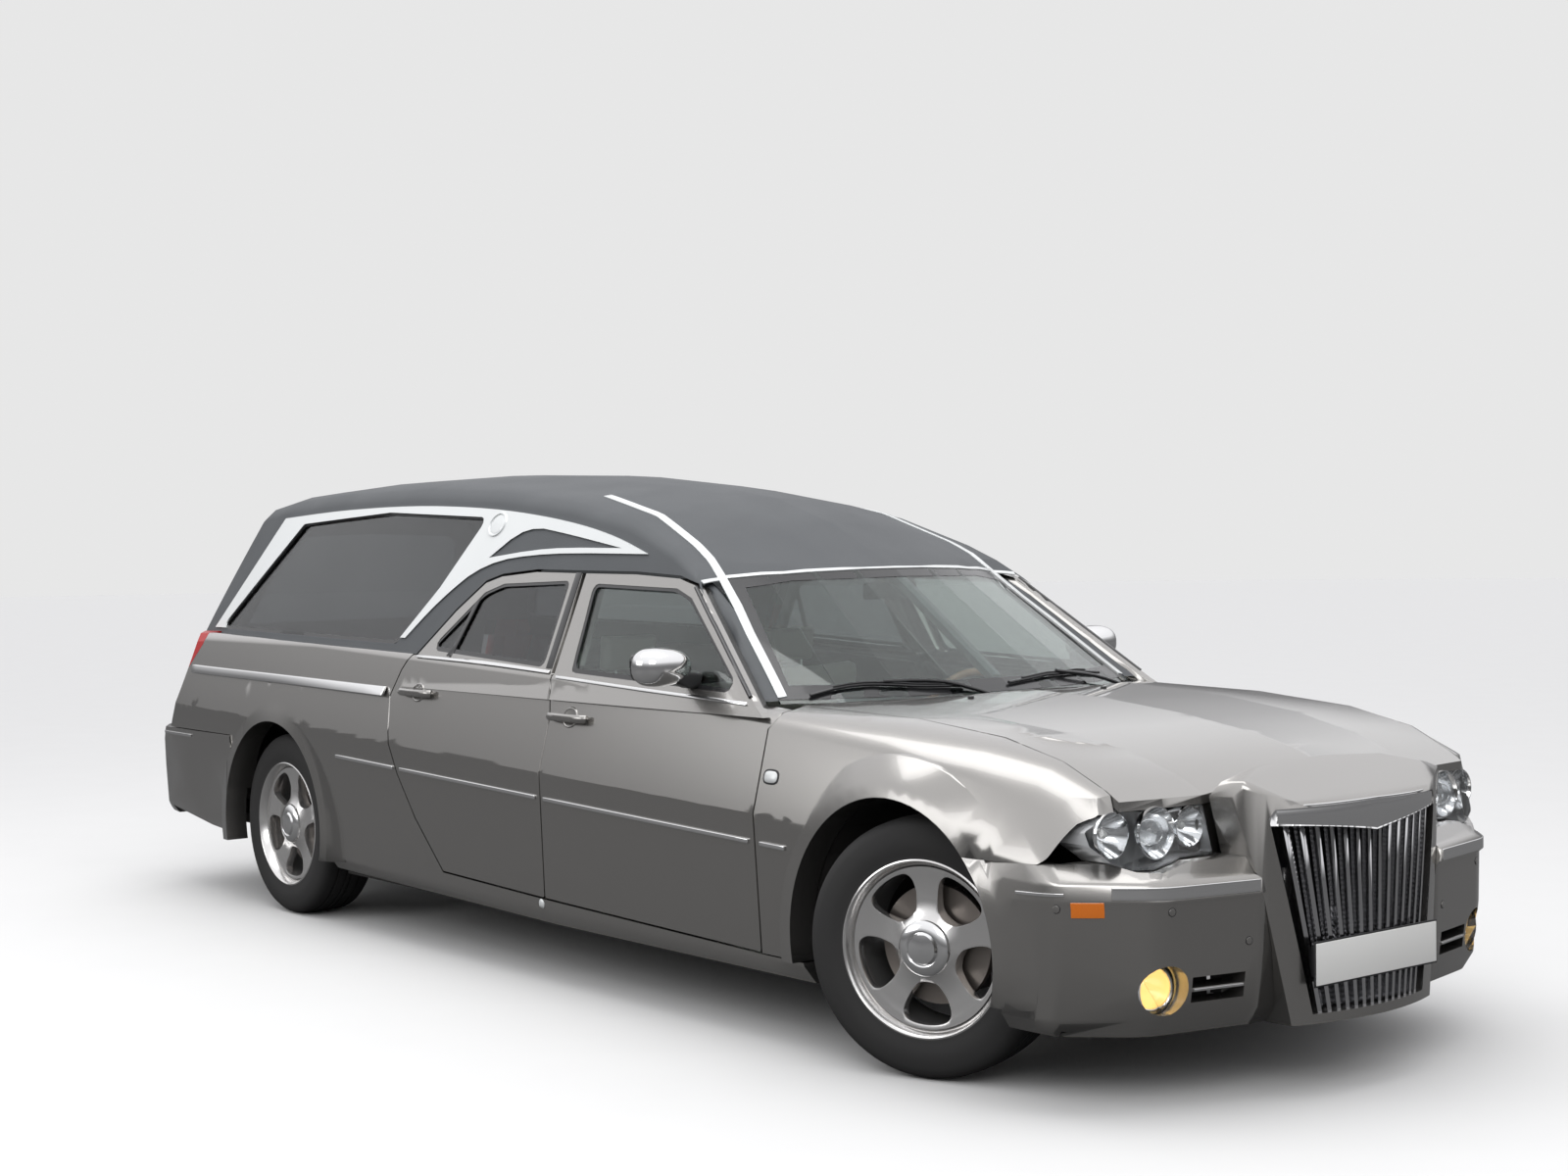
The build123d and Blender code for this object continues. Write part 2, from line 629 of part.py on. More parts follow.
bumper_form = raked_space(BUMPER_PLAN, BUMPER_RAKE, 0, 150)
bumper_inner = plan_space(BUMPER_PLAN, 90, 90, 150, BUMPER_TOP - 30)
bumper_open = plan_space(BUMPER_PLAN, 190, 60, 150, BUMPER_TOP + 40)
bumper_zone = wall_box(2048, 3000, 0, 1000, 190, BUMPER_TOP)
bumper = ((lower_half(-6) & bumper_form) + front_fill) & bumper_zone
bumper = bumper - arches - lamp_hole
bumper = bumper - (lower_half(60) & bumper_inner) - (wall_box(2000, 3000, 0, 860, 150, 700) & bumper_open)
bumper = bumper - front_prism(polygon(SURROUND, 0, 1), 2600, 3000) - wall_box(2000, 2600, 0, 850, 150, 700)
with BuildPart() as fog_bores:
    with BuildSketch(Plane.YZ.offset(2600)):
        with Locations((663, 322)):
            RegularPolygon(64.5, ROUND_FLATS)
    extrude(amount=300)
bumper = bumper - fog_bores.part
for slot_z in (284, 322):
    bumper = bumper - wall_box(2600, 2900, 425, 588, slot_z, slot_z + 28)
keep(whole(bumper), "front_bumper")

head_lamp = lower_half(4) & lamp_space(3) & front_prism(polygon(LAMP_OUTLINE, 12), 2560, 2900)
head_lamp = head_lamp - lamp_space(110) - (plan_prism(bonnet_side, 500, 1200) - lower_half(30))
with BuildPart() as fog_lamp:
    with BuildSketch(Plane.YZ.offset(2700)):
        with Locations((663, 322)):
            RegularPolygon(63.5, ROUND_FLATS)
    extrude(amount=58)
keep(both(head_lamp + fog_lamp.part), "front_lamps")

tail_form = raked_space(TAIL_PLAN, TAIL_RAKE, 0, 90)
rear_form = lower_half(-6) & tail_form
rear_fill = rear_flare & wall_box(-2300, -2063, 850, 1000, 262, 1000)
rear_bumper = ((rear_form + rear_fill) & wall_box(-3000, -2063, 0, 1000, 190, REAR_BUMPER_TOP)) - arches
rear_bumper = rear_bumper - lower_half(60) - wall_box(-2800, -2063, 0, 860, 190, 720)
rear_face = rear_form & wall_box(-3000, -2800, 0, 900, 190, REAR_BUMPER_TOP)
rear_bumper = rear_bumper + (rear_face - wall_box(-2860, -2700, 0, 820, 190, 660))
keep(whole(rear_bumper), "rear_bumper")

# Underbody: floor, wheel housings, firewall and rails
FLOOR_LOW = 210.0
floor = wall_box(-2125, 1545, 0, 858, FLOOR_LOW, 250) + wall_box(-2750, -2110, 0, 760, 300, 340)
floor = floor + wall_box(-2140, -2110, 0, 760, FLOOR_LOW, 340)
rear_well = wall_box(-2125, -1195, 575, 1000, 190, 900)
front_well = wall_box(1560, 2520, 430, 1000, 190, 900)
rear_wall = wall_box(-2125, -1195, 575, 590, FLOOR_LOW, 796) + wall_box(-2125, -1195, 575, 790, 781, 796)
rear_ends = wall_box(-2125, -2110, 575, 790, FLOOR_LOW, 796) + wall_box(-1210, -1195, 575, 790, FLOOR_LOW, 796)
firewall = wall_box(1530, 1545, 0, 850, FLOOR_LOW, 931)
rail = wall_box(1545, 2700, 325, 410, 330, 420)
liner = across(438, FRONT_AXLE, WHEEL_Z, 425, 846) - across(424, FRONT_AXLE, WHEEL_Z, 425, 846)
liner = liner & wall_box(1500, 2500, 400, 900, 360, 900)
strut_wall = wall_box(1545, 2478, 410, 425, 360, 600)
under_half = (floor - rear_well) + rear_wall + rear_ends + firewall + rail + liner + strut_wall
under_half = under_half - lower_shell - fender - wall_box(-1720, -1600, 0, 800, 245, 405)
keep(whole(under_half), "underbody")

# Cabin
DASH = ((1060, 640), (1040, 890), (1100, 931), (1528, 931), (1528, 640))
keep(whole(side_prism(polygon(DASH, 25), 0, 690)), "dashboard")

WHEEL_SPOT = (930, 370, 850)
column_plane = Plane(origin=WHEEL_SPOT, x_dir=(0, 1, 0), z_dir=(0.9, 0, -0.44))
with BuildPart() as steering_wheel:
    with BuildSketch(column_plane.offset(-14)):
        RegularPolygon(198, 24)
        RegularPolygon(170, 24, mode=Mode.SUBTRACT)
    extrude(amount=28)
    with BuildSketch(column_plane):
        RegularPolygon(55, 12)
        Rectangle(360, 34)
    extrude(amount=22)
    with BuildSketch(column_plane.offset(20)):
        RegularPolygon(30, 12)
    extrude(amount=95)
keep(steering_wheel.part - side_prism(polygon(DASH, 25), 0, 690), "steering_wheel")

SEAT = ((140, 330), (740, 350), (745, 480), (280, 455), (90, 1020), (-30, 1010), (110, 440))
REAR_SEAT = (
    (-640, 330), (-140, 350), (-135, 470), (-540, 450), (-660, 930), (-770, 920), (-680, 430),
)
seat = side_prism(polygon(SEAT, 35), 110, 620)
headrest = wall_box(-45, 45, 250, 480, 1010, 1150)
bench = side_prism(polygon(REAR_SEAT, 35), 0, 640)
keep(Compound(children=[seat + headrest, right_of(seat + headrest), whole(bench)]), "seats")

deck = wall_box(-2650, -800, 0, 640, 800, 840) + wall_box(-815, -800, 0, 640, 250, 800)
deck = deck + wall_box(-2600, -2560, 0, 500, 340, 800)
PIN_PLACES = ((-2400, 200), (-1000, 200))
for x, y in PIN_PLACES:
    with BuildPart() as pin_hole:
        with BuildSketch(Plane.XY.offset(790)):
            with Locations((x, y)):
                Circle(9)
        extrude(amount=60)
    deck = deck - pin_hole.part
keep(whole(deck), "load_deck")

# Engine, axles, knuckles and wheels
keep(wall_box(1760, 2480, -300, 300, 330, 850), "engine")
axle = wall_box(1985, 2095, 0, 600, 262, 329) + wall_box(2015, 2065, 600, 742, 215, 245)
axle = axle + wall_box(2015, 2065, 580, 610, 215, 300)
keep(whole(axle), "front_axle")
rear_half = across(38, REAR_AXLE, WHEEL_Z, 0, 776.5) + across(110, REAR_AXLE, WHEEL_Z, 0, 120)
rear_half = rear_half + wall_box(REAR_AXLE - 60, REAR_AXLE + 60, 340, 420, 250, 360)
keep(whole(rear_half), "rear_axle")

with BuildPart() as knuckle:
    with BuildSketch(Plane.XY.offset(246)):
        with Locations((FRONT_AXLE, KINGPIN_Y)):
            RegularPolygon(27, ROUND_FLATS)
    extrude(amount=250)
knuckle_part = knuckle.part + across(30, FRONT_AXLE, WHEEL_Z, KINGPIN_Y, KINGPIN_Y + 61.5)

# Drums of the wheel, as y and radius
TYRE_FORM = (
    (TYRE_IN_Y, RIM_R + 55), (TYRE_IN_Y + 16, TYRE_R - 14), (TYRE_IN_Y + 34, TYRE_R),
    (TYRE_OUT_Y - 34, TYRE_R), (TYRE_OUT_Y - 16, TYRE_R - 14), (TYRE_OUT_Y, RIM_R + 55),
)
TYRE_BORE = ((TYRE_IN_Y - 1, RIM_R), (TYRE_OUT_Y + 1, RIM_R))
RIM_FORM = ((TYRE_IN_Y + 6, RIM_R - 0.4), (TYRE_OUT_Y - 8, RIM_R - 0.4))
RIM_BORE = (
    (TYRE_IN_Y + 5, RIM_R - 18), (TYRE_OUT_Y - 40, RIM_R - 18), (TYRE_OUT_Y - 7, RIM_R - 13),
)
SPOKES = 5
SPOKE_OUTLINE = ((60, -36), (227, -62), (227, 62), (60, 36))


tyre = drum(TYRE_FORM) - drum(TYRE_BORE)
with BuildPart() as rim:
    add(drum(RIM_FORM) - drum(RIM_BORE))
    with BuildSketch(Plane(origin=(0, TYRE_OUT_Y - 52, 0), x_dir=(1, 0, 0), z_dir=(0, 1, 0))):
        RegularPolygon(82, ROUND_FLATS)
        for i in range(SPOKES):
            angle = math.radians(90 + i * 360 / SPOKES)
            with BuildLine():
                Polyline(*[turned(r, w, angle) for r, w in SPOKE_OUTLINE], close=True)
            make_face()
    extrude(amount=34)
    with BuildSketch(Plane(origin=(0, TYRE_OUT_Y - 112, 0), x_dir=(1, 0, 0), z_dir=(0, 1, 0))):
        RegularPolygon(165, ROUND_FLATS)
    extrude(amount=24)
    with BuildSketch(Plane(origin=(0, TYRE_OUT_Y - 112, 0), x_dir=(1, 0, 0), z_dir=(0, 1, 0))):
        RegularPolygon(70, ROUND_FLATS)
    extrude(amount=100)


def corner(part, name, side, axle_x, turn):
    """Place a wheel piece at its corner, turned about its kingpin, and keep it."""
    placed = Pos(axle_x, 0, WHEEL_Z) * part
    if turn:
        pivot = Axis((axle_x, KINGPIN_Y, 0), (0, 0, 1))
        placed = placed.rotate(pivot, side * turn)
    keep(placed if side == LEFT else right_of(placed), name)


for end, axle_x, turn in (("front", FRONT_AXLE, STEER), ("rear", REAR_AXLE, 0)):
    for side, word in SIDES:
        corner(rim.part, end + "_rim_" + word, side, axle_x, turn)
        corner(tyre, end + "_tyre_" + word, side, axle_x, turn)
for side, word in SIDES:
    corner(Pos(-FRONT_AXLE, 0, -WHEEL_Z) * knuckle_part, "knuckle_" + word, side, FRONT_AXLE, STEER)

# Door mirrors, as x, width, height and corner radius of the housing
MIRROR_FORM = ((960, 182, 112, 44), (1022, 188, 118, 46), (1058, 150, 88, 36), (1072, 96, 46, 20))
MIRROR_SPOT = (957, 1096)
with BuildPart() as door_mirror:
    for x, wide, high, radius in MIRROR_FORM:
        y, z = MIRROR_SPOT
        box = [(y + i * wide / 2, z + j * high / 2) for i, j in ((-1, -1), (1, -1), (1, 1), (-1, 1))]
        with BuildSketch(Plane.YZ.offset(x)):
            with BuildLine():
                Polyline(*eased_outline(box, radius), close=True)
            make_face()
    loft(ruled=True)
    with BuildSketch(Plane.YZ.offset(1010)):
        with BuildLine():
            Polyline((845, 1040), (900, 1030), (930, 1060), (900, 1075), (840, 1062), close=True)
        make_face()
    extrude(amount=60)
mirror_part = door_mirror.part - lower_outer - house_outer
keep(mirror_part, "mirror_left")
keep(right_of(mirror_part), "mirror_right")
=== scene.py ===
"""Dresses a long estate hearse: paint, grained roof, glass, bright trim, wheels, lamps and cabin.

Every size is in metres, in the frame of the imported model: +X forward, +Y to the car's left, +Z up.
"""

import json
import logging
import math
from dataclasses import dataclass, field
from enum import Enum
from typing import Iterable, Sequence

import bpy
from mathutils import Matrix, Vector
from mathutils.bvhtree import BVHTree

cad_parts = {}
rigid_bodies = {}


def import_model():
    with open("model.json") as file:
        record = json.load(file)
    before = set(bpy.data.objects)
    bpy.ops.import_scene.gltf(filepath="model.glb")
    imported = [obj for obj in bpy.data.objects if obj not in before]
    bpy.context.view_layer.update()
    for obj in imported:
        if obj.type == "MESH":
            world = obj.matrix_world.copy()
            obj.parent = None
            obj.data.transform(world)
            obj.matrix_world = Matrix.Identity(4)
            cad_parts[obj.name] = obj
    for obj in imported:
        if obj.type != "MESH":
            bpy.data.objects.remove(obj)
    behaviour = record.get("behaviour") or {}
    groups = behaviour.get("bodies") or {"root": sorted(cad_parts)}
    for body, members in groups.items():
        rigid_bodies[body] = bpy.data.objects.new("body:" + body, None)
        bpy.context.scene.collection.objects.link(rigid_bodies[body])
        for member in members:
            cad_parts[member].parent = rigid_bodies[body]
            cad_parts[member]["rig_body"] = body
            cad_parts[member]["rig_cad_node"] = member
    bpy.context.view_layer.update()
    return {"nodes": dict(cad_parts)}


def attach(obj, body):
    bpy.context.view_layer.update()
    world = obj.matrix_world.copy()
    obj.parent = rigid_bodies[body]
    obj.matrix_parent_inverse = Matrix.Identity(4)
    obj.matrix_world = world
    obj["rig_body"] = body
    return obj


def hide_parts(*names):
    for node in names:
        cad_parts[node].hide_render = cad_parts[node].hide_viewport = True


LOG = logging.getLogger("hearse")
Point = tuple[float, ...]
Piece = bpy.types.Object

FRONT_AXLE = 2.040
REAR_AXLE = -1.660
WHEEL_Z = 0.361
KINGPIN_Y = 0.715
STEER = math.radians(20)
TYRE_OUT_Y = 0.889
TYRE_IN_Y = 0.657
SMOOTH_ANGLE = math.radians(32)
CREASE_ANGLE = math.radians(50)
# Corners this close together are one
WELD = 0.00002
WIDE_WELD = 0.00005
# Rays start this far above, ahead of or behind, and beside the car's middle
RAY_Z = 2.2
RAY_X = 3.4
RAY_Y = 1.3
# The start of a profile that is spun, just off its axis
ON_AXIS = 0.0001


class Side(Enum):
    """A side of the car, with the sign of its y."""

    LEFT = 1
    RIGHT = -1

    @property
    def word(self) -> str:
        """Return the side's name in lower case."""
        return self.name.lower()


class Grain(Enum):
    """The pattern that a finish carries in its surface."""

    FINE = "fine"
    PEBBLE = "pebble"
    WEAVE = "weave"
    BRUSHED = "brushed"


@dataclass(frozen=True)
class Finish:
    """One surface finish and the numbers of its shader."""

    name: str
    colour: Point
    shade: Point
    roughness: float
    metallic: float = 0.0
    coat: float = 0.0
    transmission: float = 0.0
    ior: float = 1.45
    sheen: float = 0.0
    glow: float = 0.0
    grain: Grain = Grain.FINE
    grain_size: float = 0.002
    depth: float = 0.0
    spread: float = 0.03
    coat_roughness: float = 0.03
    cloud_scale: float = 3.1
    cloud_detail: float = 5.0
    weave_distortion: float = 1.2
    bump_strength: float = 0.6

    def material(self) -> bpy.types.Material:
        """Return the finish as a node material, made once.

        Returns:
            The material, with its colour, roughness and bump worked out on Object coordinates.
        """
        found = bpy.data.materials.get(self.name)
        if found:
            return found
        made = bpy.data.materials.new(self.name)
        made.use_nodes = True
        tree = made.node_tree
        shader = tree.nodes["Principled BSDF"]
        shader.inputs["Metallic"].default_value = self.metallic
        shader.inputs["Coat Weight"].default_value = self.coat
        shader.inputs["Coat Roughness"].default_value = self.coat_roughness
        shader.inputs["Transmission Weight"].default_value = self.transmission
        shader.inputs["IOR"].default_value = self.ior
        shader.inputs["Sheen Weight"].default_value = self.sheen
        if self.glow:
            shader.inputs["Emission Color"].default_value = (*self.colour, 1)
            shader.inputs["Emission Strength"].default_value = self.glow
        where = tree.nodes.new("ShaderNodeTexCoord").outputs["Object"]
        cloud = tree.nodes.new("ShaderNodeTexNoise")
        cloud.inputs["Scale"].default_value = self.cloud_scale
        cloud.inputs["Detail"].default_value = self.cloud_detail
        tree.links.new(where, cloud.inputs["Vector"])
        mix = tree.nodes.new("ShaderNodeMix")
        mix.data_type = "RGBA"
        mix.inputs["A"].default_value = (*self.colour, 1)
        mix.inputs["B"].default_value = (*self.shade, 1)
        tree.links.new(cloud.outputs["Fac"], mix.inputs["Factor"])
        tree.links.new(mix.outputs["Result"], shader.inputs["Base Color"])
        gloss = tree.nodes.new("ShaderNodeMapRange")
        gloss.inputs["To Min"].default_value = max(self.roughness - self.spread, 0.0)
        gloss.inputs["To Max"].default_value = self.roughness + self.spread
        tree.links.new(cloud.outputs["Fac"], gloss.inputs["Value"])
        tree.links.new(gloss.outputs["Result"], shader.inputs["Roughness"])
        if self.depth:
            self._relief(tree, where, shader)
        return made

    def _relief(self, tree: bpy.types.NodeTree, where: bpy.types.NodeSocket,
                shader: bpy.types.Node) -> None:
        """Add the grain's bump to the shader.

        Args:
            tree: The material's nodes.
            where: The socket that gives the Object coordinates.
            shader: The shader that takes the bump.
        """
        if self.grain is Grain.PEBBLE:
            pattern = tree.nodes.new("ShaderNodeTexVoronoi")
            height = pattern.outputs["Distance"]
        elif self.grain is Grain.WEAVE:
            pattern = tree.nodes.new("ShaderNodeTexWave")
            pattern.inputs["Distortion"].default_value = self.weave_distortion
            height = pattern.outputs["Fac"]
        elif self.grain is Grain.BRUSHED:
            pattern = tree.nodes.new("ShaderNodeTexMagic")
            height = pattern.outputs["Fac"]
        else:
            pattern = tree.nodes.new("ShaderNodeTexNoise")
            height = pattern.outputs["Fac"]
        pattern.inputs["Scale"].default_value = 1 / self.grain_size
        tree.links.new(where, pattern.inputs["Vector"])
        bump = tree.nodes.new("ShaderNodeBump")
        bump.inputs["Strength"].default_value = self.bump_strength
        bump.inputs["Distance"].default_value = self.depth
        tree.links.new(height, bump.inputs["Height"])
        tree.links.new(bump.outputs["Normal"], shader.inputs["Normal"])


PAINT = Finish("silver_paint", (0.345, 0.335, 0.320), (0.325, 0.315, 0.300), 0.25, metallic=0.92, coat=1.0)
# Painted shade: the body silver darkened to stand for the shadow in the corner beside each headlamp
PAINTED_SHADE_SILVER = Finish("silver_recess", (0.20, 0.195, 0.185), (0.17, 0.166, 0.158), 0.30, metallic=0.9,
                     coat=0.8)
VINYL = Finish("roof_vinyl", (0.080, 0.086, 0.092), (0.062, 0.067, 0.072), 0.55, grain=Grain.PEBBLE,
               grain_size=0.004, depth=0.0008, spread=0.08)
DARK_CHROME = Finish("dark_chrome", (0.58, 0.58, 0.59), (0.50, 0.50, 0.51), 0.16, metallic=1.0)
MESH_BLACK = Finish("grille_mesh", (0.030, 0.030, 0.032), (0.045, 0.045, 0.047), 0.30, metallic=0.7,
                    grain=Grain.WEAVE, grain_size=0.010, depth=0.0010)
WHITE = Finish("white_silver", (0.74, 0.76, 0.76), (0.68, 0.70, 0.70), 0.26, coat=0.5, metallic=0.15)
CHROME = Finish("chrome", (0.78, 0.78, 0.78), (0.72, 0.72, 0.73), 0.07, metallic=1.0)
WHEEL_METAL = Finish("polished_wheel", (0.78, 0.77, 0.76), (0.70, 0.69, 0.68), 0.20, metallic=0.9)
STEEL = Finish("disc_steel", (0.30, 0.28, 0.26), (0.22, 0.19, 0.17), 0.42, metallic=1.0,
               grain=Grain.BRUSHED, grain_size=0.004, depth=0.0004)
IRON = Finish("cast_iron", (0.10, 0.095, 0.09), (0.07, 0.06, 0.055), 0.7, metallic=0.6,
              grain_size=0.003, depth=0.0006)
CLEAR = Finish("clear_lens", (0.97, 0.98, 0.98), (0.95, 0.96, 0.97), 0.01, transmission=1.0, spread=0.005)
GREEN_GLASS = Finish("green_glass", (0.80, 0.90, 0.86), (0.78, 0.88, 0.84), 0.005, transmission=1.0,
                     spread=0.004)
GREY_GLASS = Finish("grey_glass", (0.34, 0.36, 0.37), (0.30, 0.32, 0.33), 0.005, transmission=1.0,
                    spread=0.004)
RED_LENS = Finish("red_lens", (0.50, 0.015, 0.015), (0.38, 0.010, 0.010), 0.09, coat=1.0,
                  grain=Grain.WEAVE, grain_size=0.012, depth=0.0006)
AMBER = Finish("amber_lens", (0.85, 0.22, 0.01), (0.70, 0.16, 0.01), 0.10, coat=1.0,
               grain=Grain.WEAVE, grain_size=0.008, depth=0.0006)
WARM_LAMP = Finish("warm_lamp", (1.0, 0.72, 0.26), (1.0, 0.62, 0.20), 0.15, glow=0.9)
HOUSING = Finish("lamp_housing", (0.62, 0.63, 0.64), (0.54, 0.55, 0.56), 0.28, metallic=0.35)
REFLECTOR = Finish("reflector", (0.86, 0.87, 0.88), (0.80, 0.81, 0.82), 0.10, metallic=1.0)
BLACK = Finish("black_plastic", (0.018, 0.018, 0.019), (0.026, 0.026, 0.027), 0.48,
               grain_size=0.0015, depth=0.0003)
SATIN_BLACK = Finish("satin_black", (0.012, 0.012, 0.013), (0.016, 0.016, 0.017), 0.22, coat=0.4)
UNDERSIDE = Finish("underside", (0.020, 0.020, 0.020), (0.034, 0.031, 0.028), 0.85,
                   grain_size=0.008, depth=0.0015)
TYRE_RUBBER = Finish("tyre_rubber", (0.020, 0.020, 0.021), (0.030, 0.029, 0.028), 0.72,
                     grain_size=0.003, depth=0.0005)
LEATHER = Finish("grey_leather", (0.40, 0.385, 0.35), (0.34, 0.325, 0.295), 0.5, sheen=0.1,
                 grain=Grain.PEBBLE, grain_size=0.003, depth=0.0007)
TAN = Finish("tan_leather", (0.30, 0.15, 0.07), (0.24, 0.11, 0.05), 0.35, coat=0.4,
             grain=Grain.WEAVE, grain_size=0.03, depth=0.0002)
DECK_WOOD = Finish("deck_wood", (0.17, 0.085, 0.04), (0.10, 0.048, 0.022), 0.35, coat=0.6,
                   grain=Grain.WEAVE, grain_size=0.05, depth=0.0003)
PLATE = Finish("blank_plate", (0.82, 0.82, 0.80), (0.78, 0.78, 0.76), 0.35, grain_size=0.004, depth=0.0001)
FLOOR = Finish("pale_floor", (0.72, 0.72, 0.715), (0.70, 0.70, 0.695), 0.75, grain_size=0.02, depth=0.0004)


class Bench:
    """The hand tools: primitives, edit-mode steps, applied modifiers and the finishing of a piece."""

    @staticmethod
    def clear() -> None:
        """Leave edit mode and deselect everything."""
        if bpy.context.object and bpy.context.object.mode != "OBJECT":
            bpy.ops.object.mode_set(mode="OBJECT")
        bpy.ops.object.select_all(action="DESELECT")

    @staticmethod
    def pick(piece: Piece) -> None:
        """Select one piece alone and make it active."""
        Bench.clear()
        piece.select_set(True)
        bpy.context.view_layer.objects.active = piece

    @staticmethod
    def edit(piece: Piece) -> None:
        """Open one piece in edit mode with all of it selected."""
        Bench.pick(piece)
        bpy.ops.object.mode_set(mode="EDIT")
        bpy.ops.mesh.select_all(action="SELECT")

    @staticmethod
    def settle() -> None:
        """Put the new piece's place, turn and size into its mesh."""
        bpy.ops.object.transform_apply(location=True, rotation=True, scale=True)

    @staticmethod
    def named(name: str) -> Piece:
        """Name the piece that was just added and return it."""
        piece = bpy.context.object
        piece.name = name
        piece.data.name = name
        return piece

    @staticmethod
    def block(name: str, low: Point, high: Point, bevel: float = 0.0) -> Piece:
        """Add a block between two corners, its edges rounded.

        Args:
            name: The new piece's name.
            low: The lowest corner.
            high: The highest corner.
            bevel: The radius of its edges, or 0.

        Returns:
            The new piece.
        """
        Bench.clear()
        size = [b - a for a, b in zip(low, high)]
        middle = [(a + b) / 2 for a, b in zip(low, high)]
        bpy.ops.mesh.primitive_cube_add(size=1, location=middle, scale=size)
        piece = Bench.named(name)
        Bench.settle()
        if bevel:
            Bench.apply(piece, "BEVEL", width=bevel, segments=3)
        return piece

    @staticmethod
    def rod(name: str, radius: float, ends: tuple[Point, Point], sides: int = 24,
            bevel: float = 0.0) -> Piece:
        """Add a round bar between two points.

        Args:
            name: The new piece's name.
            radius: The bar's radius.
            ends: The middle points of its two ends.
            sides: How many sides it has.
            bevel: The radius of its end edges, or 0.

        Returns:
            The new piece.
        """
        Bench.clear()
        start, end = Vector(ends[0]), Vector(ends[1])
        turn = (end - start).to_track_quat("Z", "Y").to_euler()
        bpy.ops.mesh.primitive_cylinder_add(vertices=sides, radius=radius, depth=(end - start).length,
                                            location=(start + end) / 2, rotation=turn)
        piece = Bench.named(name)
        Bench.settle()
        if bevel:
            Bench.apply(piece, "BEVEL", width=bevel, segments=3, limit_method="ANGLE")
        return piece

    @staticmethod
    def line(name: str, points: Sequence[Point], closed: bool = False) -> Piece:
        """Draw a line of edges by extruding one corner from point to point.

        Args:
            name: The new piece's name.
            points: The places of the corners.
            closed: Whether the last corner joins the first.

        Returns:
            The new piece, in edit mode, with all of it selected.
        """
        Bench.clear()
        bpy.ops.mesh.primitive_plane_add(size=0.01, location=points[0])
        piece = Bench.named(name)
        Bench.settle()
        bpy.ops.object.mode_set(mode="EDIT")
        bpy.ops.mesh.select_mode(type="VERT")
        bpy.ops.mesh.select_all(action="SELECT")
        bpy.ops.mesh.merge(type="CENTER")
        for here, there in zip(points, points[1:]):
            step = [b - a for a, b in zip(here, there)]
            bpy.ops.mesh.extrude_region_move(TRANSFORM_OT_translate={"value": step})
        bpy.ops.mesh.select_all(action="SELECT")
        if closed:
            bpy.ops.mesh.edge_face_add()
        return piece

    @staticmethod
    def spun(name: str, profile: Sequence[Point], centre: Point, axis: Point, steps: int = 64,
             closed: bool = False) -> Piece:
        """Turn a profile round an axis.

        Args:
            name: The new piece's name.
            profile: The profile's corners, in space.
            centre: A point on the axis.
            axis: The axis's direction.
            steps: How many steps the turn takes.
            closed: Whether the profile's end joins its start.

        Returns:
            The new piece, in object mode, its normals outward.
        """
        points = [*profile, profile[0]] if closed else list(profile)
        piece = Bench.line(name, points)
        bpy.ops.mesh.spin(steps=steps, angle=math.tau, center=centre, axis=axis)
        bpy.ops.mesh.select_all(action="SELECT")
        bpy.ops.mesh.remove_doubles(threshold=WELD)
        bpy.ops.mesh.normals_make_consistent(inside=False)
        bpy.ops.object.mode_set(mode="OBJECT")
        return piece

    @staticmethod
    def slab(name: str, outline: Sequence[Point], step: Point, bevel: float = 0.0) -> Piece:
        """Draw a flat outline and extrude it.

        Args:
            name: The new piece's name.
            outline: The corners, in space.
            step: The extrusion.
            bevel: The radius of its edges, or 0.

        Returns:
            The new piece, in object mode.
        """
        piece = Bench.line(name, outline, closed=True)
        bpy.ops.mesh.extrude_region_move(TRANSFORM_OT_translate={"value": step})
        bpy.ops.mesh.select_all(action="SELECT")
        bpy.ops.mesh.normals_make_consistent(inside=False)
        bpy.ops.object.mode_set(mode="OBJECT")
        if bevel:
            Bench.apply(piece, "BEVEL", width=bevel, segments=2, limit_method="ANGLE")
        return piece

    @staticmethod
    def sheet(name: str, rows: Sequence[Sequence[Vector]], outward: Point, thick: float,
              bevel: float = 0.0) -> Piece:
        """Lay a grid over rows of places and give it a thickness.

        Args:
            name: The new piece's name.
            rows: The places of the grid's corners, row by row.
            outward: The side that the thickness grows to.
            thick: The thickness.
            bevel: The radius of its edges, or 0.

        Returns:
            The new piece, in object mode.
        """
        Bench.clear()
        bpy.ops.mesh.primitive_grid_add(x_subdivisions=len(rows) - 1, y_subdivisions=len(rows[0]) - 1, size=2)
        piece = Bench.named(name)
        mesh = piece.data
        along = sorted({round(v.co.x, 4) for v in mesh.vertices})
        over = sorted({round(v.co.y, 4) for v in mesh.vertices})
        for corner in mesh.vertices:
            corner.co = rows[along.index(round(corner.co.x, 4))][over.index(round(corner.co.y, 4))]
        mesh.update()
        if sum(face.normal.dot(Vector(outward)) for face in mesh.polygons) < 0:
            mesh.flip_normals()
        Bench.edit(piece)
        bpy.ops.mesh.remove_doubles(threshold=WIDE_WELD)
        bpy.ops.object.mode_set(mode="OBJECT")
        Bench.apply(piece, "SOLIDIFY", thickness=thick, offset=1.0, use_even_offset=True)
        if bevel:
            Bench.apply(piece, "BEVEL", width=bevel, segments=3, limit_method="ANGLE",
                        angle_limit=CREASE_ANGLE)
        return piece

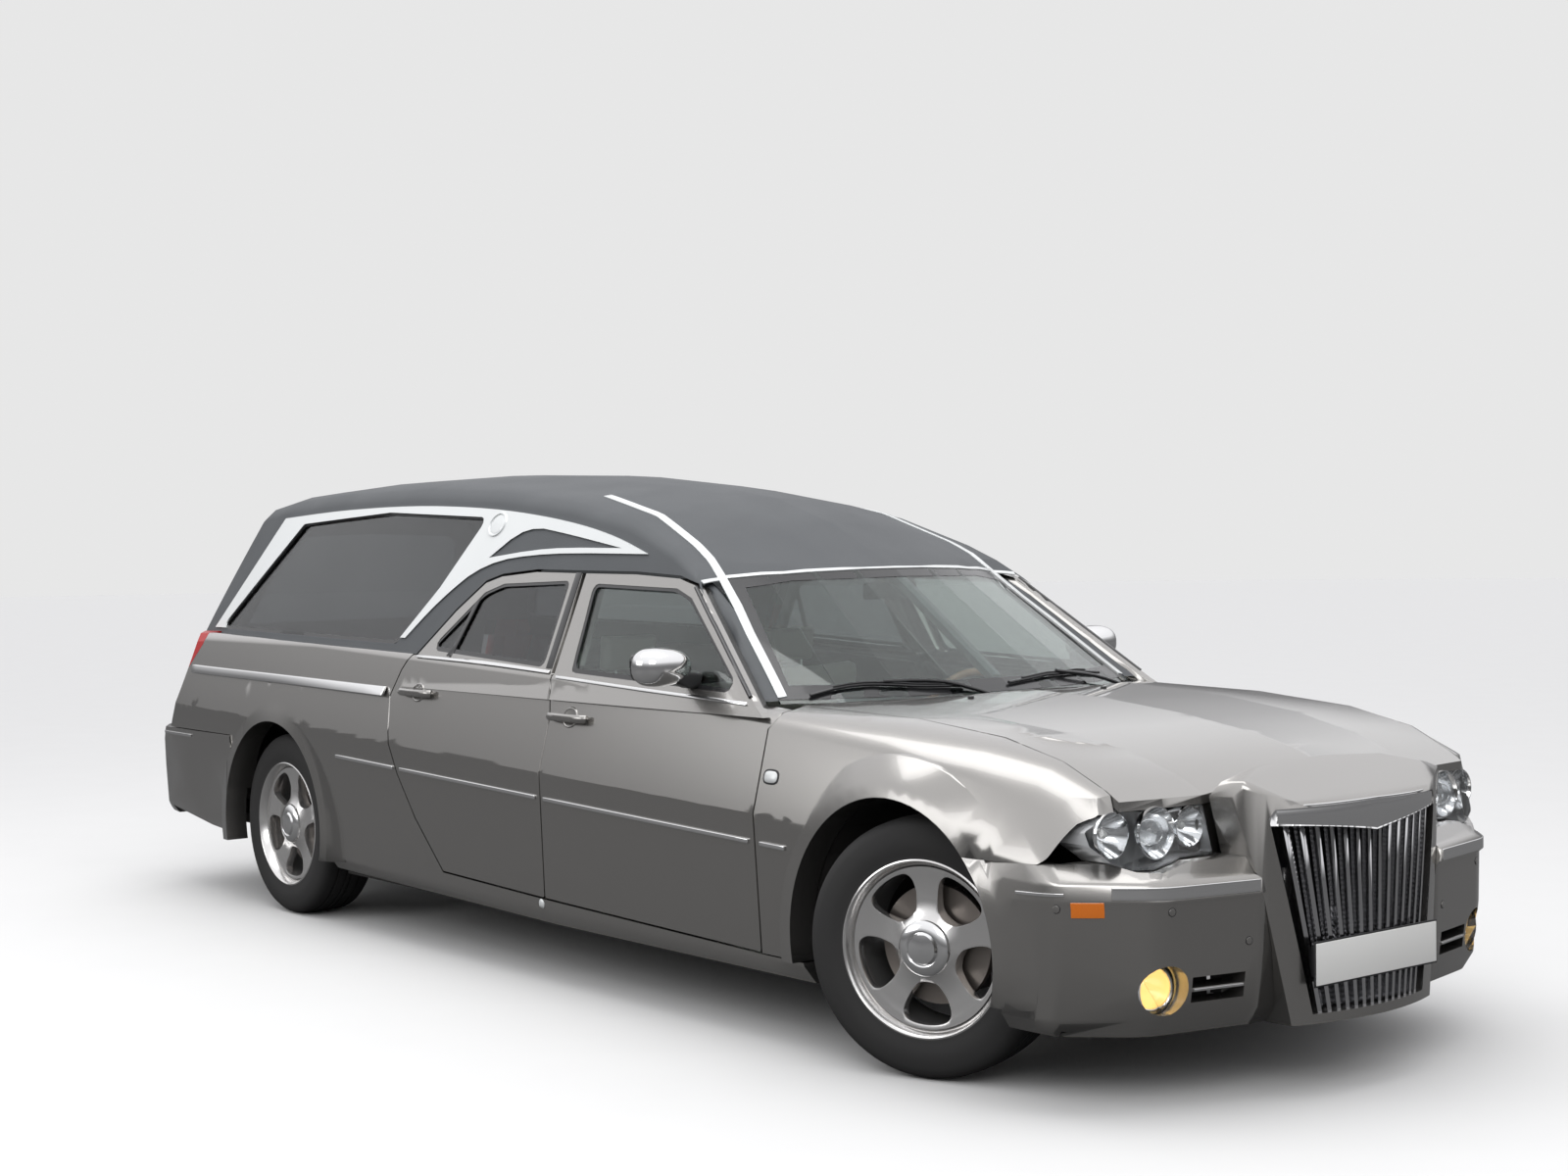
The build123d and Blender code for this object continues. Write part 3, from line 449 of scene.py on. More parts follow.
    @staticmethod
    def tube(name: str, points: Sequence[Point], radius: float, closed: bool = False) -> Piece:
        """Bend a round bar along points.

        Args:
            name: The new piece's name.
            points: The points that its middle line passes.
            radius: The bar's radius.
            closed: Whether its end joins its start.

        Returns:
            The new piece, in object mode.
        """
        Bench.line(name, [*points, points[0]] if closed else points)
        bpy.ops.mesh.remove_doubles(threshold=WIDE_WELD)
        bpy.ops.object.mode_set(mode="OBJECT")
        bpy.ops.object.convert(target="CURVE")
        line = bpy.context.object.data
        line.bevel_depth = radius
        line.bevel_resolution = 3
        line.use_fill_caps = True
        bpy.ops.object.convert(target="MESH")
        return Bench.named(name)

    @staticmethod
    def apply(piece: Piece, kind: str, **settings: object) -> None:
        """Add one modifier and apply it.

        Args:
            piece: The piece to change.
            kind: The modifier's type.
            settings: The modifier's values by name.
        """
        Bench.pick(piece)
        step = piece.modifiers.new(kind.lower(), kind)
        for key, value in settings.items():
            setattr(step, key, value)
        bpy.ops.object.modifier_apply(modifier=step.name)

    @staticmethod
    def copied(piece: Piece, name: str, move: Matrix = Matrix.Identity(4)) -> Piece:
        """Copy a piece with its own mesh, moved by a matrix, its faces still outward.

        Args:
            piece: The piece to copy.
            name: The copy's name.
            move: Where the copy goes.

        Returns:
            The copy.
        """
        twin = piece.copy()
        twin.data = piece.data.copy()
        twin.name = name
        twin.data.name = name
        twin.parent = None
        bpy.context.scene.collection.objects.link(twin)
        twin.data.transform(move)
        if move.determinant() < 0:
            twin.data.flip_normals()
        return twin

    @staticmethod
    def joined(pieces: Sequence[Piece], name: str) -> Piece:
        """Join pieces into one mesh and return it."""
        Bench.clear()
        for piece in pieces:
            piece.select_set(True)
        bpy.context.view_layer.objects.active = pieces[0]
        bpy.ops.object.join()
        return Bench.named(name)

    @staticmethod
    def finish(piece: Piece, finish: Finish, body: str, slot: str,
               replaces: Iterable[str] = (), angle: float = SMOOTH_ANGLE) -> Piece:
        """Smooth a piece, give it its finish and let it ride on its body.

        Args:
            piece: The finished shape.
            finish: The surface that it gets.
            body: The body that it moves with.
            slot: The record's material slot; not used.
            replaces: The CAD nodes that it stands for.
            angle: Edges sharper than this stay sharp.

        Returns:
            The piece.
        """
        Bench.pick(piece)
        if angle:
            bpy.ops.object.shade_smooth_by_angle(angle=angle)
        else:
            bpy.ops.object.shade_flat()
        piece.data.materials.clear()
        piece.data.materials.append(finish.material())
        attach(piece, body)
        nodes = list(replaces)
        if nodes:
            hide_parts(*nodes)
        LOG.info("%s rides on %s", piece.name, body)
        return piece


def curve_through(points: Sequence[Point], steps: int = 4) -> list[Point]:
    """Return points on a smooth line through a few given ones.

    Args:
        points: The points that the line passes.
        steps: How many pieces each stretch gets.

    Returns:
        The points of the smooth line, ends included.
    """
    ends = [points[0], *points, points[-1]]
    found = []
    for a, b, c, d in zip(ends, ends[1:], ends[2:], ends[3:]):
        for i in range(steps):
            t = i / steps
            place = []
            for p, q, r, s in zip(a, b, c, d):
                bend = (2 * p - 5 * q + 4 * r - s) * t * t
                twist = (3 * q - p - 3 * r + s) * t ** 3
                place.append(0.5 * (2 * q + (r - p) * t + bend + twist))
            found.append(tuple(place))
    found.append(tuple(points[-1]))
    return found


def rounded(points: Sequence[Point], times: int = 3) -> list[Point]:
    """Return a closed outline with its corners cut until they are round."""
    found = list(points)
    for _ in range(times):
        cut = []
        for here, there in zip(found, found[1:] + found[:1]):
            cut.append(tuple(a * 0.75 + b * 0.25 for a, b in zip(here, there)))
            cut.append(tuple(a * 0.25 + b * 0.75 for a, b in zip(here, there)))
        found = cut
    return found


@dataclass
class BodyForm:
    """The smooth outer form of the body, which trim lies on and panels take their normals from.

    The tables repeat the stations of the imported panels. Columns of the lower ones: x, sill y and z,
    crease y and z, shoulder start y and z, shoulder end y and z, bonnet crease y and z, middle z.
    Columns of the house: x, y at its floor, shoulder start y and z, shoulder end y and z, middle z.
    """

    lower: tuple[Point, ...] = (
        (-3.060, 0.860, 0.380, 0.925, 0.822, 0.880, 1.040, 0.820, 1.100, 0.500, 1.112, 1.116),
        (-2.400, 0.885, 0.325, 0.938, 0.799, 0.874, 1.072, 0.812, 1.112, 0.500, 1.120, 1.122),
        (-1.400, 0.908, 0.282, 0.942, 0.768, 0.868, 1.074, 0.800, 1.106, 0.500, 1.112, 1.114),
        (0.300, 0.915, 0.262, 0.942, 0.716, 0.868, 1.018, 0.806, 1.048, 0.500, 1.055, 1.058),
        (1.450, 0.912, 0.255, 0.942, 0.680, 0.882, 0.925, 0.745, 0.984, 0.560, 0.998, 1.010),
        (1.950, 0.907, 0.252, 0.942, 0.664, 0.890, 0.884, 0.738, 0.974, 0.530, 0.976, 0.994),
        (2.300, 0.902, 0.248, 0.942, 0.653, 0.890, 0.842, 0.742, 0.944, 0.495, 0.938, 0.960),
        (2.520, 0.898, 0.245, 0.940, 0.646, 0.880, 0.796, 0.752, 0.894, 0.468, 0.894, 0.926),
        (2.660, 0.890, 0.242, 0.934, 0.642, 0.864, 0.750, 0.748, 0.828, 0.455, 0.845, 0.890),
        (2.780, 0.878, 0.240, 0.924, 0.638, 0.836, 0.702, 0.735, 0.752, 0.445, 0.775, 0.846),
        (3.000, 0.855, 0.240, 0.905, 0.630, 0.790, 0.620, 0.690, 0.640, 0.420, 0.660, 0.750),
    )
    house: tuple[Point, ...] = (
        (-3.000, 0.868, 0.592, 1.490, 0.460, 1.552, 1.585),
        (-2.560, 0.894, 0.580, 1.560, 0.450, 1.634, 1.676),
        (-2.250, 0.906, 0.573, 1.604, 0.444, 1.680, 1.718),
        (-1.750, 0.917, 0.571, 1.632, 0.440, 1.705, 1.740),
        (-1.100, 0.919, 0.571, 1.641, 0.440, 1.712, 1.747),
        (-0.500, 0.919, 0.581, 1.618, 0.450, 1.686, 1.728),
        (0.000, 0.919, 0.604, 1.572, 0.480, 1.630, 1.682),
        (0.400, 0.919, 0.634, 1.508, 0.530, 1.562, 1.624),
        (0.700, 0.918, 0.676, 1.416, 0.590, 1.452, 1.532),
        (0.900, 0.914, 0.716, 1.334, 0.640, 1.352, 1.438),
        (1.320, 0.905, 0.822, 1.085, 0.720, 1.125, 1.235),
        (1.560, 0.900, 0.868, 0.985, 0.750, 1.015, 1.125),
    )
    floor_z: float = 0.900
    turn_out: float = 0.014
    house_turn_out: float = 0.012
    crown_shares: tuple[float, ...] = (0.66, 0.33)
    likeness: float = 0.72
    rounds: int = 4
    reach: float = 0.0025
    longest_edge: float = 0.05
    least_step: float = 0.001
    corners: list[Vector] = field(default_factory=list)
    normals: list[Vector] = field(default_factory=list)
    faces: list[tuple[int, int, int]] = field(default_factory=list)
    cells: list[tuple[int, int]] = field(default_factory=list)
    tree: BVHTree | None = None

    def __post_init__(self) -> None:
        """Build the patches and the search tree."""
        low_side = [[(r[1], r[2]), (r[3], r[4])] for r in self.lower]
        high_side = []
        bonnet = []
        for r in self.lower:
            middle = ((r[5] + r[7]) / 2 + self.turn_out, (r[6] + r[8]) / 2 + self.turn_out)
            high_side.append([(r[3], r[4]), (r[5], r[6]), middle, (r[7], r[8]), (r[9], r[10])])
            bonnet.append([(r[9], r[10]), (0.0, r[11])])
        top = []
        for r in self.house:
            middle = ((r[2] + r[4]) / 2 + self.house_turn_out, (r[3] + r[5]) / 2 + self.turn_out)
            crown = [(r[4] * share, r[6] - (r[6] - r[5]) * share ** 2) for share in self.crown_shares]
            top.append([(r[1], self.floor_z), (r[2], r[3]), middle, (r[4], r[5]), *crown, (0.0, r[6])])
        low_x = [r[0] for r in self.lower]
        for sections in (low_side, high_side, bonnet):
            self._patch(low_x, sections)
        self._patch([r[0] for r in self.house], top)
        self.tree = BVHTree.FromPolygons(self.corners, self.faces)

    def _patch(self, stations: Sequence[float], sections: Sequence[Sequence[Point]]) -> None:
        """Add one smooth patch and its mirror image.

        Args:
            stations: The x of each section.
            sections: The y and z of each section's points.
        """
        for side in Side:
            base = len(self.corners)
            wide = len(sections[0])
            grid = [[Vector((x, side.value * y, z)) for y, z in points]
                    for x, points in zip(stations, sections)]
            self.corners += [p for row in grid for p in row]
            for i, row in enumerate(grid):
                for j in range(wide):
                    before = row[j] - grid[max(i - 1, 0)][j]
                    after = grid[min(i + 1, len(grid) - 1)][j] - row[j]
                    weights = max(after.x, self.least_step) ** 2, max(before.x, self.least_step) ** 2
                    along = before * weights[0] + after * weights[1]
                    up = row[min(j + 1, wide - 1)] - row[max(j - 1, 0)]
                    normal = along.cross(up).normalized()
                    self.normals.append(-normal if normal.y * side.value < 0 or normal.z < -0.5 else normal)
            for i in range(len(grid) - 1):
                for j in range(wide - 1):
                    a = base + i * wide + j
                    self.faces += [(a, a + wide, a + wide + 1), (a, a + wide + 1, a + 1)]
                    self.cells += [(a, wide)] * 2

    def normal_at(self, place: Vector) -> Vector | None:
        """Return the form's smooth normal beside a point.

        Args:
            place: The point.

        Returns:
            The normal, or None where the form is further away.
        """
        hit, _, index, _ = self.tree.find_nearest(place, self.reach)
        if hit is None:
            return None
        a, wide = self.cells[index]
        spots, ways = self.corners, self.normals
        along = (hit.x - spots[a].x) / (spots[a + wide].x - spots[a].x)
        low = spots[a].lerp(spots[a + wide], along)
        rise = spots[a + 1].lerp(spots[a + wide + 1], along) - low
        up = min(max((hit - low).dot(rise) / rise.length_squared, 0.0), 1.0)
        lower = ways[a].lerp(ways[a + wide], along)
        return lower.lerp(ways[a + 1].lerp(ways[a + wide + 1], along), up).normalized()

    def refine(self, piece: Piece) -> None:
        """Split a panel's large outer faces, so that the form's normals are taken more often."""
        Bench.pick(piece)
        bpy.ops.object.mode_set(mode="EDIT")
        bpy.ops.mesh.select_mode(type="EDGE")
        bpy.ops.mesh.select_all(action="DESELECT")
        bpy.ops.object.mode_set(mode="OBJECT")
        mesh = piece.data
        near = [self.tree.find_nearest(v.co, self.reach)[0] is not None for v in mesh.vertices]
        for edge in mesh.edges:
            a, b = edge.vertices
            length = (mesh.vertices[a].co - mesh.vertices[b].co).length
            edge.select = near[a] and near[b] and length > self.longest_edge
        bpy.ops.object.mode_set(mode="EDIT")
        bpy.ops.mesh.subdivide(number_cuts=2)
        bpy.ops.object.mode_set(mode="OBJECT")

    def shade(self, piece: Piece) -> None:
        """Give the outer faces of a smooth-shaded panel the normals of the form."""
        mesh = piece.data
        kept = [Vector(n.vector) for n in mesh.corner_normals]
        known: dict[int, Vector | None] = {}
        for face in mesh.polygons:
            for corner in face.loop_indices:
                spot = mesh.loops[corner].vertex_index
                if spot not in known:
                    known[spot] = self.normal_at(mesh.vertices[spot].co)
            for corner in face.loop_indices:
                normal = known[mesh.loops[corner].vertex_index]
                if normal is not None and normal.dot(face.normal) > self.likeness:
                    kept[corner] = normal
        for _ in range(self.rounds):
            kept = self._blended(mesh, kept, known)
        mesh.normals_split_custom_set(kept)

    def _blended(self, mesh: bpy.types.Mesh, kept: list[Vector],
                 known: dict[int, Vector | None]) -> list[Vector]:
        """Return the corner normals, each off the form moved towards those of its neighbours.

        Args:
            mesh: The panel's mesh.
            kept: The normal of each corner.
            known: The form's normal at each vertex, or None.

        Returns:
            The new normals.
        """
        near: dict[int, list[tuple[Vector, float]]] = {}
        for face in mesh.polygons:
            middle = sum((kept[c] for c in face.loop_indices), Vector()).normalized()
            for corner in face.loop_indices:
                near.setdefault(mesh.loops[corner].vertex_index, []).append((middle, face.area))
        found = list(kept)
        for face in mesh.polygons:
            for corner in face.loop_indices:
                spot = mesh.loops[corner].vertex_index
                if known[spot] is None:
                    like = [n * a for n, a in near[spot] if n.dot(kept[corner]) > self.likeness]
                    if like:
                        found[corner] = sum(like, Vector()).normalized()
        return found

    def beside(self, x: float, z: float, side: Side = Side.LEFT, out: float = 0.0) -> Vector:
        """Return the point of the side at x and z, moved outwards."""
        toward = Vector((0, -side.value, 0))
        hit, _, _, _ = self.tree.ray_cast(Vector((x, side.value * RAY_Y, z)), toward)
        if hit is None:
            raise ValueError(f"the side has no surface at x {x} and z {z}")
        return hit - toward * out


def mirror_of(side: Side) -> Matrix:
    """Return the matrix that carries a left-hand shape to a side."""
    return Matrix.Diagonal((1, side.value, 1, 1))


@dataclass
class Panels:
    """The body's own panels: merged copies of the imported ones, smooth over the form."""

    form: BodyForm
    refinements: int = 2
    face_weight: int = 60
    # Columns: node, body, finish, slot
    table: tuple[tuple[str, str, Finish, str], ...] = (
        ("roof", "body", VINYL, "vinyl"),
        ("dashboard", "body", BLACK, "black"),
        ("load_deck", "body", DECK_WOOD, "deck"),
        ("rear_quarters", "body", PAINT, "paint"),
        ("front_fenders", "body", PAINT, "paint"),
        ("grille_surround", "body", PAINT, "paint"),
        ("front_bumper", "body", PAINT, "paint"),
        ("rear_bumper", "body", PAINT, "paint"),
        ("window_trim", "body", WHITE, "white"),
        ("bonnet", "bonnet", PAINT, "paint"),
        ("tailgate", "tailgate", PAINT, "paint"),
        ("cowl", "body", BLACK, "black"),
        ("front_door_left", "front_door_left", PAINT, "paint"),
        ("front_door_right", "front_door_right", PAINT, "paint"),
        ("rear_door_left", "rear_door_left", PAINT, "paint"),
        ("rear_door_right", "rear_door_right", PAINT, "paint"),
    )

    def build(self, nodes: dict[str, Piece]) -> None:
        """Copy, merge, smooth and finish each panel.

        Args:
            nodes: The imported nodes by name.
        """
        for node, body, finish, slot in self.table:
            panel = merged_copy(nodes[node], node + "_skin")
            for _ in range(self.refinements):
                self.form.refine(panel)
            Bench.finish(panel, finish, body, slot, replaces=(node,))
            Bench.apply(panel, "WEIGHTED_NORMAL", mode="FACE_AREA", keep_sharp=True, weight=self.face_weight)
            self.form.shade(panel)


def merged_copy(node: Piece, name: str) -> Piece:
    """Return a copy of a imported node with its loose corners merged."""
    twin = Bench.copied(node, name)
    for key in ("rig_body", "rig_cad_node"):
        del twin[key]
    Bench.edit(twin)
    bpy.ops.mesh.remove_doubles(threshold=WELD)
    bpy.ops.object.mode_set(mode="OBJECT")
    return twin


@dataclass
class Strips:
    """Narrow trims that lie on the body's sides."""

    form: BodyForm
    sink: float = 0.0015
    widest_edge: float = 0.004

    def lay(self, name: str, centre: Sequence[Point], width: float, thick: float,
            side: Side = Side.LEFT) -> Piece:
        """Lay a strip on the side of the body.

        Args:
            name: The strip's name.
            centre: The x and z of the points that its middle line passes.
            width: Its width.
            thick: How far it stands out.
            side: The side that it lies on.

        Returns:
            The strip, in object mode.
        """
        path = [(x, 0.0, z - width / 2) for x, z in centre]
        piece = Bench.line(name, path)
        bpy.ops.mesh.extrude_region_move(TRANSFORM_OT_translate={"value": (0, 0, width)})
        bpy.ops.object.mode_set(mode="OBJECT")
        for corner in piece.data.vertices:
            corner.co = self.form.beside(corner.co.x, corner.co.z, side, -self.sink)
        self._thicken(piece, thick, Vector((0, side.value, 0)))
        return piece

    def _thicken(self, piece: Piece, thick: float, outward: Vector) -> None:
        """Give an open ribbon its thickness and rounded edges."""
        Bench.edit(piece)
        step = outward * (thick + self.sink)
        bpy.ops.mesh.extrude_region_move(TRANSFORM_OT_translate={"value": step})
        bpy.ops.mesh.select_all(action="SELECT")
        bpy.ops.mesh.normals_make_consistent(inside=False)
        bpy.ops.object.mode_set(mode="OBJECT")
        Bench.apply(piece, "BEVEL", width=min(thick * 0.45, self.widest_edge), segments=3,
                    limit_method="ANGLE", angle_limit=CREASE_ANGLE)


@dataclass
class SideTrim:
    """The bright strips on both sides of the body.

    Columns of the table: name, body, width, thickness, then the x and z of its points.
    """

    form: BodyForm
    table: tuple[tuple, ...] = (
        ("spear", "body", 0.034, 0.012,
         ((-2.470, 0.955), (-2.2, 0.951), (-1.6, 0.944), (-0.800, 0.934))),
        ("rub_strip_rear", "body", 0.014, 0.007,
         ((-1.130, 0.6725), (-0.690, 0.6595))),
        ("rub_strip_rear_door", "rear_door", 0.014, 0.007,
         ((-0.640, 0.658), (-0.2, 0.645), (0.270, 0.631))),
        ("rub_strip_front_door", "front_door", 0.014, 0.007,
         ((0.320, 0.629), (0.9, 0.612), (1.420, 0.597))),
        ("rub_strip_fender", "body", 0.014, 0.007,
         ((1.475, 0.595), (1.590, 0.592))),
        ("belt_rear_door", "rear_door", 0.010, 0.006,
         ((-0.640, 1.068), (-0.2, 1.060), (0.240, 1.044))),
        ("belt_front_door", "front_door", 0.010, 0.006,
         ((0.290, 1.030), (0.8, 1.010), (1.330, 0.992))),
    )

    def build(self) -> None:
        """Lay each strip on both sides."""
        strips = Strips(self.form)
        for name, body, width, thick, points in self.table:
            for side in Side:
                piece = strips.lay(f"{name}_{side.word}", curve_through(points), width, thick, side)
                own = body if body == "body" else f"{body}_{side.word}"
                Bench.finish(piece, CHROME, own, "chrome")


@dataclass(frozen=True)
class Skin:
    """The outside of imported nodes, found by rays."""

    tree: BVHTree

    @classmethod
    def of(cls, nodes: dict[str, Piece], *names: str) -> "Skin":
        """Return the skin of the named nodes."""
        corners: list[Vector] = []
        faces: list[tuple[int, ...]] = []
        for name in names:
            base = len(corners)
            mesh = nodes[name].data
            corners += [v.co.copy() for v in mesh.vertices]
            faces += [tuple(base + i for i in face.vertices) for face in mesh.polygons]
        return cls(BVHTree.FromPolygons(corners, faces))

    def hit(self, origin: Point, toward: Point, out: float = 0.0) -> Vector:
        """Return the first place that a ray meets, moved back towards its origin.

        Args:
            origin: Where the ray starts.
            toward: Its direction.
            out: How far the place is moved back.

        Returns:
            The place.
        """
        way = Vector(toward).normalized()
        place, _, _, _ = self.tree.ray_cast(Vector(origin), way)
        if place is None:
            raise ValueError(f"no surface from {tuple(origin)} towards {tuple(toward)}")
        return place - way * out

    def top(self, x: float, y: float, out: float = 0.0) -> Vector:
        """Return the place under a point above the car."""
        return self.hit((x, y, RAY_Z), (0, 0, -1), out)

    def front(self, y: float, z: float, out: float = 0.0) -> Vector:
        """Return the place behind a point ahead of the car."""
        return self.hit((RAY_X, y, z), (-1, 0, 0), out)

    def back(self, y: float, z: float, out: float = 0.0) -> Vector:
        """Return the place ahead of a point behind the car."""
        return self.hit((-RAY_X, y, z), (1, 0, 0), out)

    def beside(self, x: float, z: float, out: float = 0.0) -> Vector:
        """Return the place at the car's left side."""
        return self.hit((x, RAY_Y, z), (0, -1, 0), out)

    def around(self, middle_x: float, angle: float, z: float, out: float = 0.0) -> Vector:
        """Return the place seen at an angle from a point on the car's middle line."""
        way = (math.cos(angle), math.sin(angle), 0)
        return self.hit((middle_x + way[0] * 2, way[1] * 2, z), (-way[0], -way[1], 0), out)


def eased(points: Sequence[Point], radius: float, steps: int = 5) -> list[Point]:
    """Return a closed flat outline with round corners.

    Args:
        points: The outline's corners.
        radius: How far from each corner its curve begins.
        steps: How many pieces each curve gets.

    Returns:
        The rounded outline.
    """
    found = []
    for before, here, after in zip([points[-1], *points[:-1]], points, [*points[1:], points[0]]):
        ends = []
        for other in (before, after):
            length = math.dist(other, here)
            share = min(radius, length * 0.45) / length
            ends.append(tuple(h + (o - h) * share for h, o in zip(here, other)))
        for t in spread(0, 1, steps):
            trios = zip(ends[0], here, ends[1])
            found.append(tuple(p * (1 - t) ** 2 + 2 * h * t * (1 - t) + q * t * t for p, h, q in trios))
    return found


def inset(points: Sequence[Point], amount: float) -> list[Point]:
    """Return a closed flat outline moved in by an amount, or out by a negative one."""
    area = sum(a[0] * b[1] - b[0] * a[1] for a, b in zip(points, [*points[1:], points[0]]))
    turn = 1 if area > 0 else -1
    found = []
    for before, here, after in zip([points[-1], *points[:-1]], points, [*points[1:], points[0]]):
        edges = []
        for a, b in ((before, here), (here, after)):
            length = math.hypot(b[0] - a[0], b[1] - a[1]) or 1.0
            edges.append((-(b[1] - a[1]) / length * turn, (b[0] - a[0]) / length * turn))
        (ax, ay), (bx, by) = edges
        scale = amount / max(1 + ax * bx + ay * by, 0.2)
        found.append((here[0] + (ax + bx) * scale, here[1] + (ay + by) * scale))
    return found


def spread(start: float, end: float, steps: int) -> list[float]:
    """Return evenly spaced values, both ends included."""
    return [start + (end - start) * i / steps for i in range(steps + 1)]


def fit_pair(piece: Piece, finish: Finish, body: str, slot: str, replaces: Iterable[str] = (),
             angle: float = SMOOTH_ANGLE) -> None:
    """Finish a left-hand piece and its mirror image.

    Args:
        piece: The left-hand piece, its name without a side.
        finish: Their surface.
        body: The body, or the kind of door or wheel that each moves with.
        slot: The record's material slot.
        replaces: The CAD nodes that both stand for.
        angle: Edges sharper than this stay sharp.
    """
    name = piece.name
    for side in (Side.RIGHT, Side.LEFT):
        twin = Bench.copied(piece, f"{name}_{side.word}", mirror_of(side))
        own = f"{body}_{side.word}" if body.startswith(("front_", "rear_")) else body
        Bench.finish(twin, finish, own, slot, replaces, angle)
    bpy.data.objects.remove(piece)


@dataclass
class RoofTrim:
    """The pale stripes over the roof and beside the windscreen, and the medallion."""

    form: BodyForm
    skin: Skin
    rise: float = 0.005
    stripe: tuple[Point, ...] = (
        (-0.010, 0.437), (0.156, 0.466), (0.319, 0.496), (0.460, 0.519), (0.601, 0.545), (0.723, 0.570),
        (0.806, 0.586), (0.870, 0.600), (0.985, 0.630), (1.096, 0.668), (1.194, 0.696), (1.282, 0.722),
        (1.345, 0.742),
    )
    header: tuple[Point, ...] = ((0.862, 0.600), (0.948, 0.410), (1.001, 0.205), (1.020, 0.0))
    corner: tuple[Point, ...] = ((0.866, 0.612), (0.874, 0.652), (0.884, 0.694))
    stripe_width: float = 0.030
    header_width: float = 0.011
    corner_width: float = 0.012
    across: tuple[float, ...] = (-0.5, -0.25, 0.25, 0.5)
    sink: float = 0.001
    # The medallion's middle and half size in x and z, then its rings: share of the size, rise
    oval: Point = (-0.452, 1.546)
    oval_half: Point = (0.056, 0.044)
    rings: tuple[Point, ...] = (
        (0.0, 0.0045), (0.55, 0.0042), (0.74, 0.0030), (0.78, 0.0015), (0.84, 0.0015), (0.88, 0.0062),
        (0.96, 0.0062), (1.0, 0.0005),
    )

    def band(self, name: str, points: Sequence[Point], width: float) -> Piece:
        """Lay a band over the roof along points of x and y.

        Args:
            name: The band's name.
            points: The x and y of its middle line.
            width: Its width.

        Returns:
            The band.
        """
        rows = []
        for i, (x, y) in enumerate(points):
            ax, ay = points[max(i - 1, 0)]
            bx, by = points[min(i + 1, len(points) - 1)]
            length = math.hypot(bx - ax, by - ay)
            step = Vector((-(by - ay) / length, (bx - ax) / length, 0))
            middle = self.skin.top(x, y, -self.sink)
            row = []
            for share in self.across:
                spot = Vector((x, y, 0)) + step * width * share
                place = self.skin.top(spot.x, spot.y, -self.sink)
                if abs(place.z - middle.z) > width * 0.6:
                    place.z = middle.z - abs(share) * 0.012
                row.append(place)
            rows.append(row)
        return Bench.sheet(name, rows, (0.2, 0, 1), self.rise, 0.0015)

    def medallion(self) -> Piece:
        """Return the plain raised oval on the pillar of the load window."""
        rows = []
        for share, rise in self.rings:
            row = []
            for turn in spread(0, math.tau, 40):
                x = self.oval[0] + self.oval_half[0] * max(share, 0.02) * math.cos(turn)
                z = self.oval[1] + self.oval_half[1] * max(share, 0.02) * math.sin(turn)
                row.append(self.form.beside(x, z, Side.LEFT, self.rise + rise))
            rows.append(row)
        return Bench.sheet("medallion", rows, (0, 1, 0.4), 0.0005)

    def build(self) -> None:
        """Lay the stripes on both sides."""
        smooth = curve_through(self.stripe[:8], 3)
        long_line = [*smooth, *self.stripe[8:]]
        for piece in (self.band("roof_stripe", long_line, self.stripe_width),
                      self.band("header_stripe", curve_through(self.header, 3), self.header_width),
                      self.band("corner_strip", self.corner, self.corner_width),
                      self.medallion()):
            fit_pair(piece, WHITE, "body", "white")


